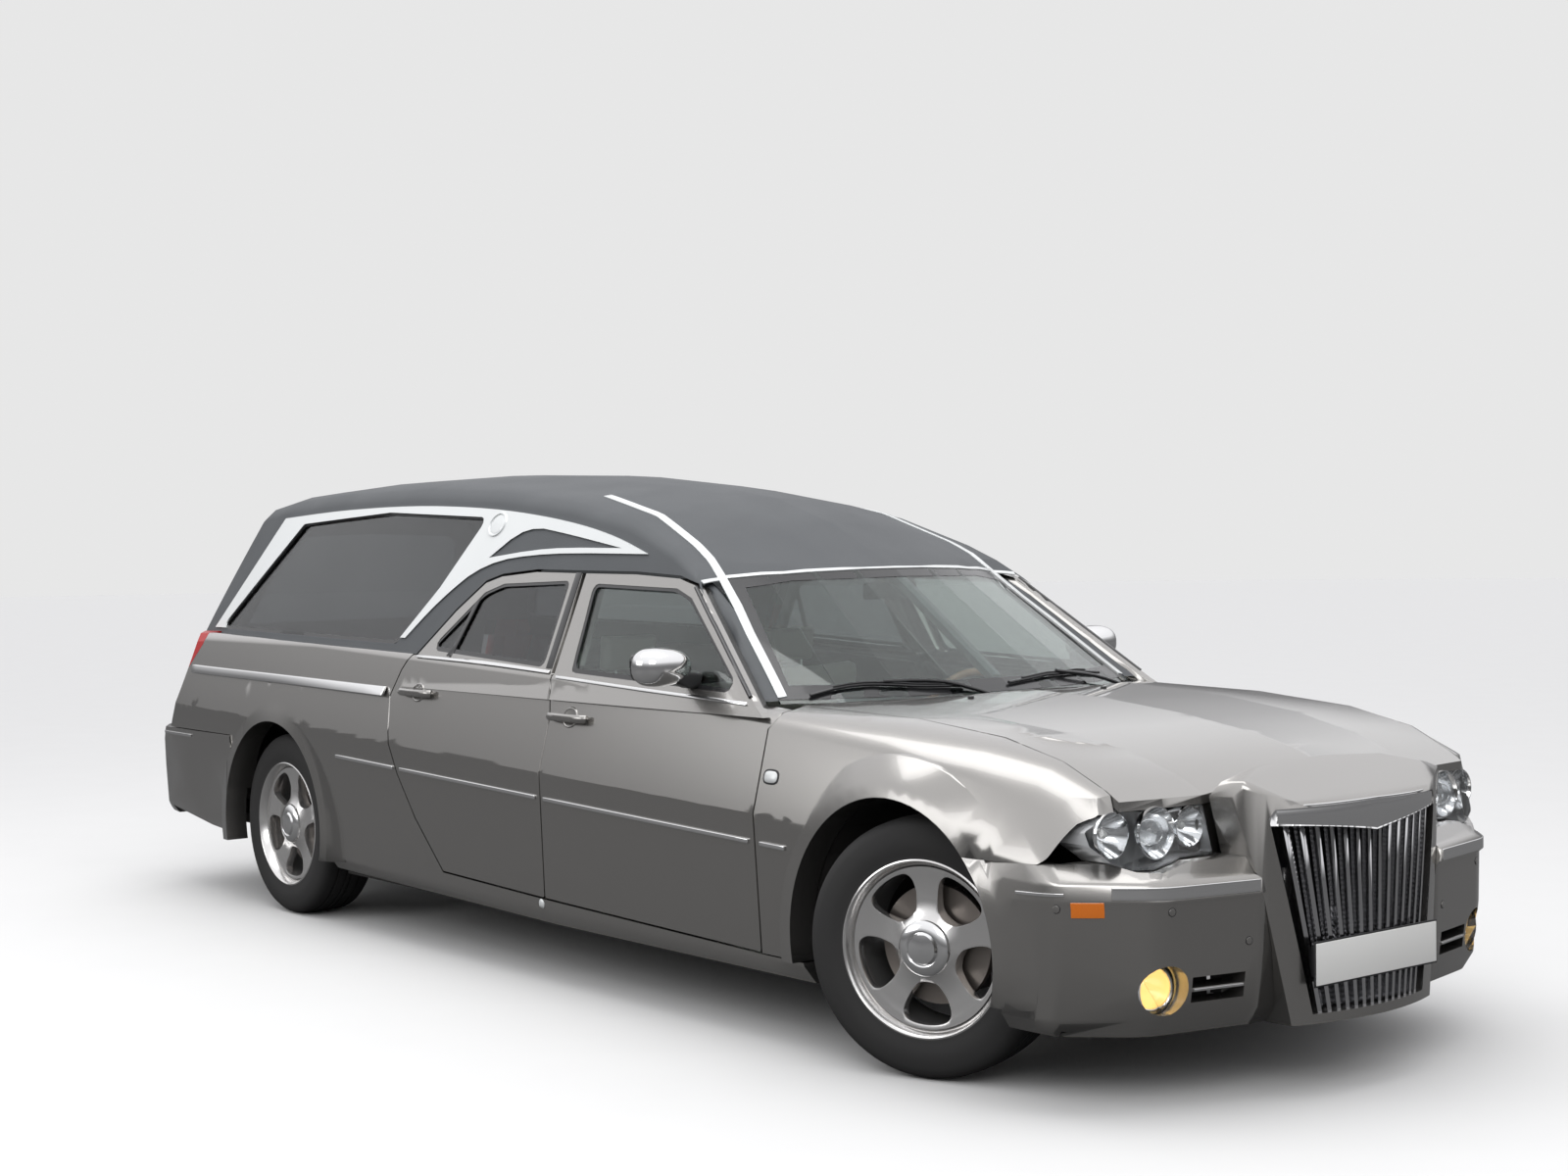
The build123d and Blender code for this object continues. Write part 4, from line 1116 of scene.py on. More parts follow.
@dataclass
class SideDetails:
    """Window seals, the divider bar, pillar cover, handles, repeaters and jack caps."""

    form: BodyForm
    skin: Skin
    door: Skin
    # Columns: name, body, reach inside the pane, then the pane's corners
    seals: tuple[tuple, ...] = (
        ("front_door_seal", "front_door", 0.013,
         ((1.290, 1.016), (0.882, 1.297), (0.786, 1.326), (0.304, 1.338), (0.362, 1.046))),
        ("rear_door_seal", "rear_door", 0.013,
         ((-0.598, 1.090), (-0.368, 1.300), (-0.258, 1.332), (0.156, 1.346), (0.188, 1.056))),
        ("load_window_seal", "body", 0.010,
         ((-2.415, 1.124), (-2.012, 1.564), (-1.292, 1.601), (-0.540, 1.572), (-0.689, 1.312),
          (-0.857, 1.104))),
    )
    # Columns: name, width, rise, then the x and z of its ends
    bars: tuple[tuple, ...] = (
        ("window_divider", 0.024, -0.003, ((-0.440, 1.072), (-0.392, 1.286))),
        ("pillar_cover", 0.034, 0.0, ((0.224, 1.052), (0.192, 1.372))),
    )
    # Columns: name, body, first x, last x, z
    handles: tuple[tuple, ...] = (
        ("front_handle", "front_door", 0.318, 0.530, 0.903),
        ("rear_handle", "rear_door", -0.676, -0.464, 0.939),
    )
    seal_outside: float = 0.004
    seal_radii: Point = (0.040, 0.028)
    seal_sink: float = 0.0075
    frame_z: Point = (1.010, 1.330)
    frame_start_x: float = 1.5
    frame_step: float = 0.002
    grip_radius: float = 0.0100
    foot_radius: float = 0.0085
    foot_inset: float = 0.018
    handle_height: float = 1.35
    # The cup's half size in x and z, then its rings: share of the size, rise
    cup_half: Point = (0.043, 0.034)
    cup_rings: tuple[Point, ...] = (
        (1.0, 0.0002), (0.95, 0.0030), (0.89, 0.0034), (0.84, 0.0016), (0.5, 0.0006), (0.02, 0.0004),
    )
    # Columns: name, middle, half size, rise, squareness, finish, slot
    patches: tuple[tuple, ...] = (
        ("repeater", (1.503, 0.790), (0.031, 0.018), 0.006, 3.0, WHITE, "lamp"),
        ("repeater_frame", (1.503, 0.790), (0.035, 0.022), 0.0025, 3.0, BLACK, "black"),
        ("jack_cap", (0.265, 0.272), (0.016, 0.016), 0.004, 2.0, WHITE, "white"),
    )

    def seal(self, name: str, reach: float, corners: Sequence[Point]) -> Piece:
        """Return the black seal round a pane."""
        outer = eased(inset(corners, -self.seal_outside), self.seal_radii[0])
        inner = eased(inset(corners, reach), self.seal_radii[1])
        rows = []
        for a, b in zip([*outer, outer[0]], [*inner, inner[0]]):
            rows.append([self.form.beside(x, z, Side.LEFT, -self.seal_sink) for x, z in (a, b)])
        return Bench.sheet(name, rows, (0, 1, 0.4), 0.005)

    def frame_edge(self) -> Piece:
        """Return the black seal along the front edge of the front door's frame."""
        points = []
        for z in spread(*self.frame_z, 16):
            x = self.frame_start_x
            while self.door.tree.ray_cast(Vector((x, RAY_Y, z)), Vector((0, -1, 0)))[0] is None:
                x -= self.frame_step
            points.append(self.skin.beside(x - 0.004, z, -0.001))
        return Bench.tube("frame_edge", points, 0.007)

    def bar(self, name: str, width: float, rise: float, ends: Sequence[Point]) -> Piece:
        """Return a flat bar between two points of the side."""
        (ax, az), (bx, bz) = ends
        rows = []
        for share in spread(0, 1, 6):
            x, z = ax + (bx - ax) * share, az + (bz - az) * share
            rows.append([self.form.beside(x + width * s, z, Side.LEFT, rise - 0.003) for s in (-0.5, 0.5)])
        return Bench.sheet(name, rows, (0, 1, 0.4), 0.005, 0.001)

    def handle(self, name: str, first: float, last: float, z: float) -> list[Piece]:
        """Build a bar handle with its feet, and the round cup behind it.

        Args:
            name: The handle's name.
            first: The x of its rear end.
            last: The x of its front end.
            z: Its height.

        Returns:
            The handle and the cup.
        """
        middle = (first + last) / 2
        bar = [self.skin.beside(x, z, rise) for x, rise in (
            (first, 0.012), (first + 0.02, 0.024), (middle, 0.030), (last - 0.02, 0.024), (last, 0.012))]
        grip = Bench.tube(name + "_grip", curve_through(bar, 4), self.grip_radius)
        feet = []
        for x in (first + self.foot_inset, last - self.foot_inset):
            low, high = self.skin.beside(x, z, -0.002), self.skin.beside(x, z, 0.022)
            feet.append(Bench.rod("foot", self.foot_radius, (low, high), 16))
        whole = Bench.joined([grip, *feet], name)
        for corner in whole.data.vertices:
            corner.co.z = z + (corner.co.z - z) * self.handle_height
        rows = []
        for share, rise in self.cup_rings:
            row = []
            for turn in spread(0, math.tau, 32):
                x = middle + self.cup_half[0] * share * math.cos(turn)
                row.append(self.skin.beside(x, z + self.cup_half[1] * share * math.sin(turn), rise))
            rows.append(row)
        return [whole, Bench.sheet(name + "_cup", rows, (0, 1, 0.2), 0.0005)]

    def patch(self, name: str, spot: Point, size: Point, rise: float, power: float) -> Piece:
        """Return a domed rounded patch on the side.

        Args:
            name: The patch's name.
            spot: The x and z of its middle.
            size: Its half length and half height.
            rise: How far its middle stands out.
            power: How square its outline is, 2 for an ellipse.

        Returns:
            The patch.
        """
        rows = []
        for share in (1.0, 0.92, 0.75, 0.4, 0.02):
            row = []
            for turn in spread(0, math.tau, 36):
                c, s = math.cos(turn), math.sin(turn)
                reach = share / (abs(c) ** power + abs(s) ** power) ** (1 / power)
                out = rise * (1 - share ** 4) + 0.0002
                x, z = spot[0] + size[0] * reach * c, spot[1] + size[1] * reach * s
                row.append(self.skin.beside(x, z, out))
            rows.append(row)
        return Bench.sheet(name, rows, (0, 1, 0.2), 0.0008)

    def build(self) -> None:
        """Build the details of both sides."""
        for name, body, reach, corners in self.seals:
            fit_pair(self.seal(name, reach, corners), SATIN_BLACK, body, "black")
        fit_pair(self.frame_edge(), SATIN_BLACK, "front_door", "black")
        for name, width, rise, ends in self.bars:
            fit_pair(self.bar(name, width, rise, ends), SATIN_BLACK, "rear_door", "black")
        for name, body, first, last, z in self.handles:
            for piece in self.handle(name, first, last, z):
                fit_pair(piece, PAINT, body, "paint")
        for name, spot, half, rise, power, finish, slot in self.patches:
            fit_pair(self.patch(name, spot, half, rise, power), finish, "body", slot)


@dataclass
class Headlamps:
    """The main lamps with their bowls, and the warm fog lamps."""

    nodes: dict[str, Piece]
    skin: Skin
    # Columns: name, y, z, radius of the bowl, the bulb's depth and radius as shares, its finish
    bowls: tuple[tuple, ...] = (
        ("low", 0.748, 0.716, 0.056, 0.55, 0.22, PLATE),
        ("projector", 0.620, 0.715, 0.064, 0.35, 0.55, CLEAR),
        ("corner", 0.503, 0.722, 0.050, 0.55, 0.22, PLATE),
    )
    cover_depth: float = 0.012
    bowl_behind: float = 0.014
    fog: Point = (2.738, 0.663, 0.322)
    fog_way: Point = (0.94, 0.34, 0)
    fog_across: Point = (-0.34, 0.94, 0)
    # Columns: distance along the lamp's way, radius
    fog_dish: tuple[Point, ...] = (
        (-0.030, ON_AXIS), (-0.029, 0.020), (-0.020, 0.042), (-0.006, 0.0545), (0.0, 0.056), (0.0, 0.0575),
        (-0.008, 0.057),
    )
    fog_ring: tuple[Point, ...] = (
        (0.0, 0.0515), (0.005, 0.0535), (0.007, 0.0565), (0.005, 0.0595), (0.0, 0.0600),
    )

    def cover(self) -> None:
        """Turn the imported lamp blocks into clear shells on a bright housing."""
        shell = merged_copy(self.nodes["front_lamps"], "lamp_covers")
        Bench.apply(shell, "SOLIDIFY", thickness=0.003, offset=-1.0)
        Bench.finish(shell, CLEAR, "body", "lamp", replaces=("front_lamps",))
        shell.data.materials.append(HOUSING.material())
        for face in shell.data.polygons:
            spot = face.center
            try:
                depth = self.skin.front(spot.y, spot.z).x - spot.x
            except ValueError:
                depth = 1.0
            clear = abs(face.normal.x) > 0.5 and depth < self.cover_depth
            face.material_index = 0 if clear else 1

    def bowl(self, name: str, y: float, z: float, radius: float, depth: float, share: float) -> list[Piece]:
        """Return a reflector bowl and the bulb or lens in it.

        Args:
            name: The bowl's name.
            y: The y of its middle.
            z: The z of its middle.
            radius: Its radius.
            depth: How deep the bulb sits, as a share of the bowl's depth.
            share: The bulb's radius as a share of the bowl's.

        Returns:
            The bowl, and the bulb or lens.
        """
        face = self.skin.front(y, z).x - self.bowl_behind
        deep = radius * 1.05
        wall = [(face - deep * (1 - (i / 8) ** 2), radius * i / 8) for i in range(1, 9)]
        lip = [(face + x, radius + r) for x, r in ((0.003, 0.0015), (0.003, 0.004), (-0.006, 0.004))]
        profile = [(wall[0][0], ON_AXIS), *wall, *lip]
        dish = Bench.spun(name + "_bowl", [(x, y + r, z) for x, r in profile], (0, y, z), (1, 0, 0), 48)
        Bench.apply(dish, "SOLIDIFY", thickness=0.0012, offset=0)
        ball = radius * share
        lens = [(face - deep * depth + ball * math.sin(t), max(ball * math.cos(t), ON_AXIS))
                for t in spread(-math.pi / 2, math.pi / 2, 10)]
        bulb = Bench.spun(name + "_bulb", [(x, y + r, z) for x, r in lens], (0, y, z), (1, 0, 0), 32)
        return [dish, bulb]

    def fog_lamp(self) -> None:
        """Build the warm fog lamp: bowl, bulb and ring."""
        middle, way, across = Vector(self.fog), Vector(self.fog_way), Vector(self.fog_across)
        dish = [middle + way * x + across * r for x, r in self.fog_dish]
        bowl = Bench.spun("fog_bowl", dish, middle, way, 48)
        Bench.apply(bowl, "SOLIDIFY", thickness=0.001, offset=0)
        fit_pair(bowl, WARM_LAMP, "body", "lamp")
        ring = [middle + way * x + across * r for x, r in self.fog_ring]
        hoop = Bench.spun("fog_ring", ring, middle, way, 48, closed=True)
        fit_pair(hoop, CHROME, "body", "chrome")

    def build(self) -> None:
        """Build the lamps of both sides."""
        self.cover()
        for name, y, z, radius, depth, share, finish in self.bowls:
            dish, bulb = self.bowl(name, y, z, radius, depth, share)
            fit_pair(dish, REFLECTOR, "body", "chrome")
            fit_pair(bulb, finish, "body", "lamp")
        self.fog_lamp()


@dataclass
class Nose:
    """The grille, the bumper's trim, the plate and its holder."""

    nodes: dict[str, Piece]
    bumper: Skin
    middle_x: float = 2.3
    bow: float = 0.8725
    tip: float = 2.950
    bars: int = 14
    # The mesh between the bars: its heights, the half widths there, and its teeth
    mesh_z: Point = (0.226, 0.752)
    mesh_half: Point = (0.222, 0.338)
    mesh_steps: int = 80
    tooth: float = 0.007
    tooth_half: float = 0.0085
    # The top bar: half length, then the heights of its lower edge in the middle and of its upper edge
    top_half: float = 0.335
    top_low: float = 0.690
    top_high: float = 0.7655
    # Columns: share of the top bar's height, rise
    top_section: tuple[Point, ...] = (
        (0, -0.006), (0.06, 0.0005), (0.3, 0.0022), (0.7, 0.0022), (0.94, 0.0005), (1, -0.006),
    )
    line_corners: tuple[Point, ...] = (
        (0.2395, 0.215), (0.2405, 0.222), (0.300, 0.482), (0.3595, 0.742), (0.342, 0.767), (0.18, 0.7715),
        (0.0, 0.775),
    )
    # Columns: angle round the bumper in degrees, z
    sensors: tuple[Point, ...] = ((70.3, 0.534), (52.4, 0.524), (37.0, 0.430))
    mesh_behind: float = 0.036
    back_of_bars: float = 0.037
    front_of_bars: float = 0.008
    line_radius: float = 0.0028

    def bow_x(self, y: float, behind: float) -> float:
        """Return the x of the nose's bow at y, moved back."""
        return self.tip - behind - self.bow + math.sqrt(self.bow ** 2 - y * y)

    def grille(self) -> None:
        """Finish the bars, with the top bar brighter, and fill the gaps with serrated mesh."""
        bars = merged_copy(self.nodes["grille"], "grille_bars")
        Bench.finish(bars, DARK_CHROME, "body", "chrome", replaces=("grille",), angle=0.0)
        bars.data.materials.append(CHROME.material())
        bars.data.materials.append(MESH_BLACK.material())
        for face in bars.data.polygons:
            spot = face.center
            low = self.top_low + 0.032 * min(abs(spot.y) / 0.352, 1)
            depth = self.bow_x(min(abs(spot.y), 0.4), 0) - spot.x
            if depth > self.back_of_bars:
                face.material_index = 2
            elif spot.z > low and depth < self.front_of_bars:
                face.material_index = 1
        columns = []
        for i in range(1, self.bars):
            share = i / self.bars * 2 - 1
            rows = []
            for step, z in enumerate(spread(*self.mesh_z, self.mesh_steps)):
                low_half, high_half = self.mesh_half
                y = share * (low_half + (high_half - low_half) * step / self.mesh_steps)
                tooth = self.tooth if step % 2 else 0.0
                rows.append([Vector((self.bow_x(y + off, self.mesh_behind - tooth * part), y + off, z))
                             for off, part in ((-self.tooth_half, 0.0), (0.0, 1.0), (self.tooth_half, 0.0))])
            columns.append(Bench.sheet(f"mesh_{i}", rows, (1, 0, 0), 0.001))
        mesh = Bench.joined(columns, "grille_mesh")
        Bench.finish(mesh, DARK_CHROME, "body", "chrome", angle=0.0)

    def top_bar(self) -> None:
        """Lay the bright bar across the grille's top, its lower edge dipping in the middle."""
        rows = []
        for y in spread(-self.top_half, self.top_half, 48):
            share = abs(y) / self.top_half
            low = self.top_low + 0.036 * share ** 0.8
            high = self.top_high - 0.004 * share
            rows.append([Vector((self.bow_x(y, 0.0036) + rise, y, low + (high - low) * up))
                         for up, rise in self.top_section])
        Bench.finish(Bench.sheet("grille_top_bar", rows, (1, 0, 0), 0.0012), CHROME, "body", "chrome")

    def frame_line(self) -> None:
        """Lay the thin bright line round the grille's opening."""
        corners = curve_through(self.line_corners, 4)
        points = [Vector((self.bow_x(y, 0.0032), y, z)) for y, z in corners]
        fit_pair(Bench.tube("grille_line", points, self.line_radius), CHROME, "body", "chrome")

    def wrap(self, name: str, first: float, last: float, heights: Sequence[float], thick: float,
             bevel: float = 0.0) -> Piece:
        """Lay a strip round the front bumper.

        Args:
            name: The strip's name.
            first: Its first angle from the car's middle line, in degrees.
            last: Its last angle.
            heights: The heights of its rows.
            thick: Its thickness.
            bevel: The radius of its edges.

        Returns:
            The strip.
        """
        rows = [[self.bumper.around(self.middle_x, math.radians(a), z, -0.0008) for z in heights]
                for a in spread(first, last, 24)]
        return Bench.sheet(name, rows, (0.8, 0.6, 0), thick, bevel)

    def trim(self) -> None:
        """Lay the bumper's strips, markers, sensors and slot bars."""
        fit_pair(self.wrap("bumper_strip", 34.5, 62.0, (0.558, 0.567, 0.581, 0.591), 0.005, 0.002),
                 CHROME, "body", "chrome")
        fit_pair(self.wrap("bumper_line", 69.0, 77.0, (0.567, 0.575), 0.004, 0.001), CHROME, "body", "chrome")
        fit_pair(self.wrap("marker", 63.2, 68.2, (0.512, 0.530, 0.552), 0.005, 0.0015), AMBER, "body", "lamp")
        for i, (angle, z) in enumerate(self.sensors):
            turn = math.radians(angle)
            here = self.bumper.around(self.middle_x, turn, z)
            beside = self.bumper.around(self.middle_x, turn + 0.02, z)
            above = self.bumper.around(self.middle_x, turn, z + 0.01)
            out = (beside - here).cross(above - here).normalized()
            out = out if out.x > 0 else -out
            rim = Bench.rod(f"sensor_ring_{i}", 0.0115, (here - out * 0.002, here + out * 0.0006), 28)
            fit_pair(rim, BLACK, "body", "black")
            disc = Bench.rod(f"sensor_{i}", 0.0095, (here - out * 0.002, here + out * 0.0018), 28, 0.0006)
            fit_pair(disc, PAINT, "body", "paint")
        rows = [[self.bumper.front(y, z, 0.0) for z in (0.3135, 0.3205)] for y in spread(0.430, 0.583, 10)]
        fit_pair(Bench.sheet("slot_bar", rows, (1, 0, 0), 0.004, 0.001), CHROME, "body", "chrome")
        back = Bench.block("slot_back", (2.690, 0.40, 0.262), (2.698, 0.598, 0.372), 0.002)
        fit_pair(back, BLACK, "body", "black")

    def plate(self) -> None:
        """Add the blank plate on its holder."""
        holder = Bench.block("plate_holder", (2.9420, -0.266, 0.298), (2.9452, 0.266, 0.418), 0.0012)
        arms = [Bench.block("arm", (2.905, y - 0.03, 0.318), (2.9425, y + 0.03, 0.398), 0.002)
                for y in (-0.20, 0.20)]
        Bench.finish(Bench.joined([holder, *arms], "plate_holder"), BLACK, "body", "black")
        plate = Bench.block("front_plate", (2.9450, -0.260, 0.303), (2.9480, 0.260, 0.413), 0.0012)
        Bench.finish(plate, PLATE, "body", "white")

    def fillers(self) -> None:
        """Close the corners between the lamps, the bonnet and the surround with darker silver, which is
        painted shade for the shadowed corner.
        """
        piece = Bench.block("nose_filler", (2.640, 0.380, 0.640), (2.722, 0.462, 0.792), 0.006)
        fit_pair(piece, PAINTED_SHADE_SILVER, "body", "paint")

    def build(self) -> None:
        """Build the whole nose."""
        self.grille()
        self.top_bar()
        self.frame_line()
        self.trim()
        self.plate()
        self.fillers()


@dataclass
class Mirrors:
    """The door mirrors: bright caps, black feet and the glass."""

    middle: Point = (1.006, 0.951, 1.094)
    half: Point = (0.080, 0.0985, 0.060)
    half_behind: float = 0.046
    fullness: float = 0.82
    taper: float = 0.10
    outline: tuple[Point, ...] = ((0.878, 1.052), (1.028, 1.048), (1.034, 1.136), (0.872, 1.132))
    foot: tuple[Point, ...] = ((0.836, 1.028), (0.880, 1.026), (0.932, 1.048), (0.900, 1.078), (0.826, 1.070))

    def shell(self) -> Piece:
        """Return the egg-shaped cap, flat behind its glass."""
        Bench.clear()
        bpy.ops.mesh.primitive_uv_sphere_add(segments=48, ring_count=24, radius=1)
        cap = Bench.named("mirror_cap")
        for corner in cap.data.vertices:
            x, y, z = (math.copysign(abs(c) ** self.fullness, c) for c in corner.co)
            length = self.half[0] if x > 0 else self.half_behind
            height = self.half[2] * z * (1 + self.taper * y)
            middle_x, middle_y, middle_z = self.middle
            corner.co = (middle_x + length * x, middle_y + self.half[1] * y, middle_z + height)
        return cap

    def build(self) -> None:
        """Build both mirrors."""
        fit_pair(self.shell(), CHROME, "front_door", "chrome")
        outline = eased(self.outline, 0.030)
        bezel = Bench.slab("mirror_bezel", [(0.9575, y, z) for y, z in outline], (0.016, 0, 0), 0.004)
        fit_pair(bezel, SATIN_BLACK, "front_door", "black")
        pane = [(0.9562, y, z) for y, z in inset(outline, 0.007)]
        glass = Bench.slab("mirror_glass", pane, (0.004, 0, 0), 0.001)
        fit_pair(glass, REFLECTOR, "front_door", "chrome")
        foot = Bench.slab("mirror_foot", [(1.014, y, z) for y, z in self.foot], (0.052, 0, 0))
        Bench.apply(foot, "BEVEL", width=0.010, segments=3, limit_method="ANGLE")
        for side in Side:
            twin = Bench.copied(foot, f"mirror_foot_{side.word}", mirror_of(side))
            Bench.finish(twin, BLACK, f"front_door_{side.word}", "black", replaces=(f"mirror_{side.word}",))
        bpy.data.objects.remove(foot)


@dataclass
class Screen:
    """The windscreen's dark border, the wipers and the washer nozzles."""

    glass: Skin
    bonnet: Skin
    border: tuple[Point, ...] = ((0.0, 1.382), (0.420, 1.376), (0.600, 1.356), (0.752, 0.998), (0.0, 0.998))
    reach: tuple[Point, ...] = ((0.0, 1.352), (0.405, 1.346), (0.560, 1.326), (0.696, 1.036), (0.0, 1.036))
    # Columns: name, then the x and y of the blade, then of the arm
    wipers: tuple[tuple, ...] = (
        ("right_wiper", ((1.392, -0.672), (1.435, -0.502), (1.498, -0.357), (1.545, -0.180)),
         ((1.462, -0.440), (1.530, -0.250), (1.596, -0.060))),
        ("left_wiper", ((1.556, 0.002), (1.528, 0.163), (1.492, 0.331), (1.440, 0.533)),
         ((1.508, 0.262), (1.500, 0.450), (1.470, 0.620))),
    )

    def edge(self, y: float, z: float) -> Vector:
        """Return the glass's place at y and z, or the nearest one towards its middle."""
        for step in range(30):
            lower = step * 0.001 if z > 1.2 else -step * 0.001
            try:
                return self.glass.front(y * (1 - step * 0.001), z - lower, 0.0002)
            except ValueError:
                continue
        raise ValueError(f"no glass near y {y} and z {z}")

    def build(self) -> None:
        """Build the border, the wipers and the nozzles."""
        rows = []
        for (a, b), (c, d) in zip(zip(self.border, self.border[1:]), zip(self.reach, self.reach[1:])):
            for share in spread(0, 1, 6):
                outer = tuple(p + (q - p) * share for p, q in zip(a, b))
                inner = tuple(p + (q - p) * share for p, q in zip(c, d))
                rows.append([self.edge(y, z) for y, z in (outer, inner)])
        fit_pair(Bench.sheet("screen_border", rows, (1, 0, 0.5), 0.0006), SATIN_BLACK, "body", "black")
        for name, blade, arm in self.wipers:
            run = [self.glass.top(x, y, 0.010) for x, y in curve_through(blade, 4)]
            rubber = Bench.tube(name + "_blade", run, 0.0055)
            spine = Bench.tube(name + "_spine", [p + Vector((0, 0, 0.007)) for p in run[2:-2]], 0.0035)
            lift = [self.glass.top(*arm[0], 0.020), self.glass.top(*arm[1], 0.024)]
            end = Vector((arm[2][0], arm[2][1], 0.978))
            reach = Bench.tube(name + "_arm", curve_through([*lift, end], 4), 0.0065)
            axle = (end - Vector((0, 0, 0.022)), end + Vector((0, 0, 0.008)))
            pivot = Bench.rod(name + "_pivot", 0.016, axle, 20, 0.003)
            Bench.finish(Bench.joined([rubber, spine, reach, pivot], name), SATIN_BLACK, "body", "black")
        base = self.bonnet.top(1.690, 0.290)
        ends = (base - Vector((0, 0, 0.003)), base + Vector((0, 0, 0.006)))
        fit_pair(Bench.rod("nozzle", 0.010, ends, 16, 0.003), BLACK, "bonnet", "black")


@dataclass
class Tail:
    """The tailgate's seal, bar and high lamp, and the rear bumper's trim."""

    bumper: Skin
    gate: Skin
    middle_x: float = -2.3
    seal_width: float = 0.012
    pane: tuple[Point, ...] = ((0.0, 1.520), (0.380, 1.508), (0.420, 1.480), (0.560, 1.130), (0.0, 1.130))
    # Columns: name, first and last angle in degrees, lowest and highest z, finish, slot
    bumper_parts: tuple[tuple, ...] = (
        ("rear_valance", 146, 180, 0.390, 0.440, BLACK, "black"),
        ("rear_reflector", 148, 154, 0.470, 0.500, RED_LENS, "red_lens"),
    )
    bar_half: float = 0.33
    bar_z: float = 0.962

    def build(self) -> None:
        """Build the rear details."""
        rows = []
        grown = inset(self.pane, -self.seal_width)
        for i in range(4):
            for share in spread(0, 1, 6):
                y, z = (grown[i][k] + (grown[i + 1][k] - grown[i][k]) * share for k in (0, 1))
                v, w = (self.pane[i][k] + (self.pane[i + 1][k] - self.pane[i][k]) * share for k in (0, 1))
                rim = self.gate.back(max(y, 0.0), z, 0.0)
                inner = self.gate.back(max(v, 0.0) * 1.002, w + (0.001 if w > 1.3 else -0.001), 0.0)
                rows.append([rim, inner])
        fit_pair(Bench.sheet("tailgate_seal", rows, (-1, 0, 0.2), 0.003), SATIN_BLACK, "tailgate", "black")
        strip = [[self.bumper.around(self.middle_x, math.radians(a), z, -0.0005) for z in (0.664, 0.676)]
                 for a in spread(99, 178.5, 40)]
        fit_pair(Bench.sheet("rear_strip", strip, (-0.7, 0.7, 0), 0.005, 0.0015), CHROME, "body", "chrome")
        for name, first, last, low, high, finish, slot in self.bumper_parts:
            rows = []
            for turn in spread(first, last, 24):
                rows.append([self.bumper.around(self.middle_x, math.radians(turn), z, -0.001)
                             for z in spread(low, high, 3)])
            fit_pair(Bench.sheet(name, rows, (-0.7, 0.7, 0), 0.005, 0.001), finish, "body", slot)
        bar = [self.gate.back(y, self.bar_z - 0.02 * (y / self.bar_half) ** 2, 0.010)
               for y in spread(-self.bar_half, self.bar_half, 20)]
        Bench.finish(Bench.tube("tailgate_bar", bar, 0.013), CHROME, "tailgate", "chrome")
        lamp = [[self.gate.back(y, z, 0.0) for z in (1.548, 1.566)] for y in spread(-0.16, 0.16, 12)]
        high_lamp = Bench.sheet("high_lamp", lamp, (-1, 0, 0.2), 0.006, 0.001)
        Bench.finish(high_lamp, RED_LENS, "tailgate", "red_lens")


@dataclass(frozen=True)
class Pad:
    """One stuffed leather pad: a crowned closed form with sewn channels.

    The size is its half length, half width and half height before it is turned and placed.
    """

    name: str
    place: Point
    size: Point
    lean: float = 0.0
    channels: int = 0
    crown: float = 0.16
    cuts: int = 11
    pinch: float = 0.05
    groove: float = 0.10
    seam_at: float = 0.68
    channels_to: float = 0.66
    narrowness: float = 3.5
    bulge: float = 0.10

    def build(self) -> Piece:
        """Return the pad, its channels sewn in and its edges piped."""
        Bench.clear()
        bpy.ops.mesh.primitive_cube_add(size=2)
        pad = Bench.named(self.name)
        bpy.ops.object.mode_set(mode="EDIT")
        bpy.ops.mesh.select_all(action="SELECT")
        bpy.ops.mesh.subdivide(number_cuts=self.cuts)
        bpy.ops.object.mode_set(mode="OBJECT")
        turn = Matrix.Rotation(self.lean, 3, "Y")
        length, width, height = self.size
        for corner in pad.data.vertices:
            x, y, z = corner.co
            waist = 1 - self.pinch * (1 - y * y) if abs(x) > 0.99 else 1.0
            side = 1 - self.pinch * (1 - x * x) if abs(y) > 0.99 else 1.0
            crown = 1 - self.crown * (x ** 4 + y ** 4) / 1.2
            groove = 0.0
            if self.channels and abs(y) < self.channels_to and z > 0.9:
                wave = abs(math.sin(math.pi * self.channels * (x + 1) / 2))
                groove = self.groove * max(0.0, 1 - wave * self.narrowness)
            seam = self.groove * math.exp(-((abs(y) - self.seam_at) / 0.05) ** 2) if z > 0.9 else 0.0
            bulge = 1 - self.bulge * z * z
            corner.co = Vector(self.place) + turn @ Vector((
                x * length * waist * bulge, y * width * side * bulge, (z * crown - groove - seam) * height))
        Bench.apply(pad, "SUBSURF", levels=1, render_levels=1)
        return pad


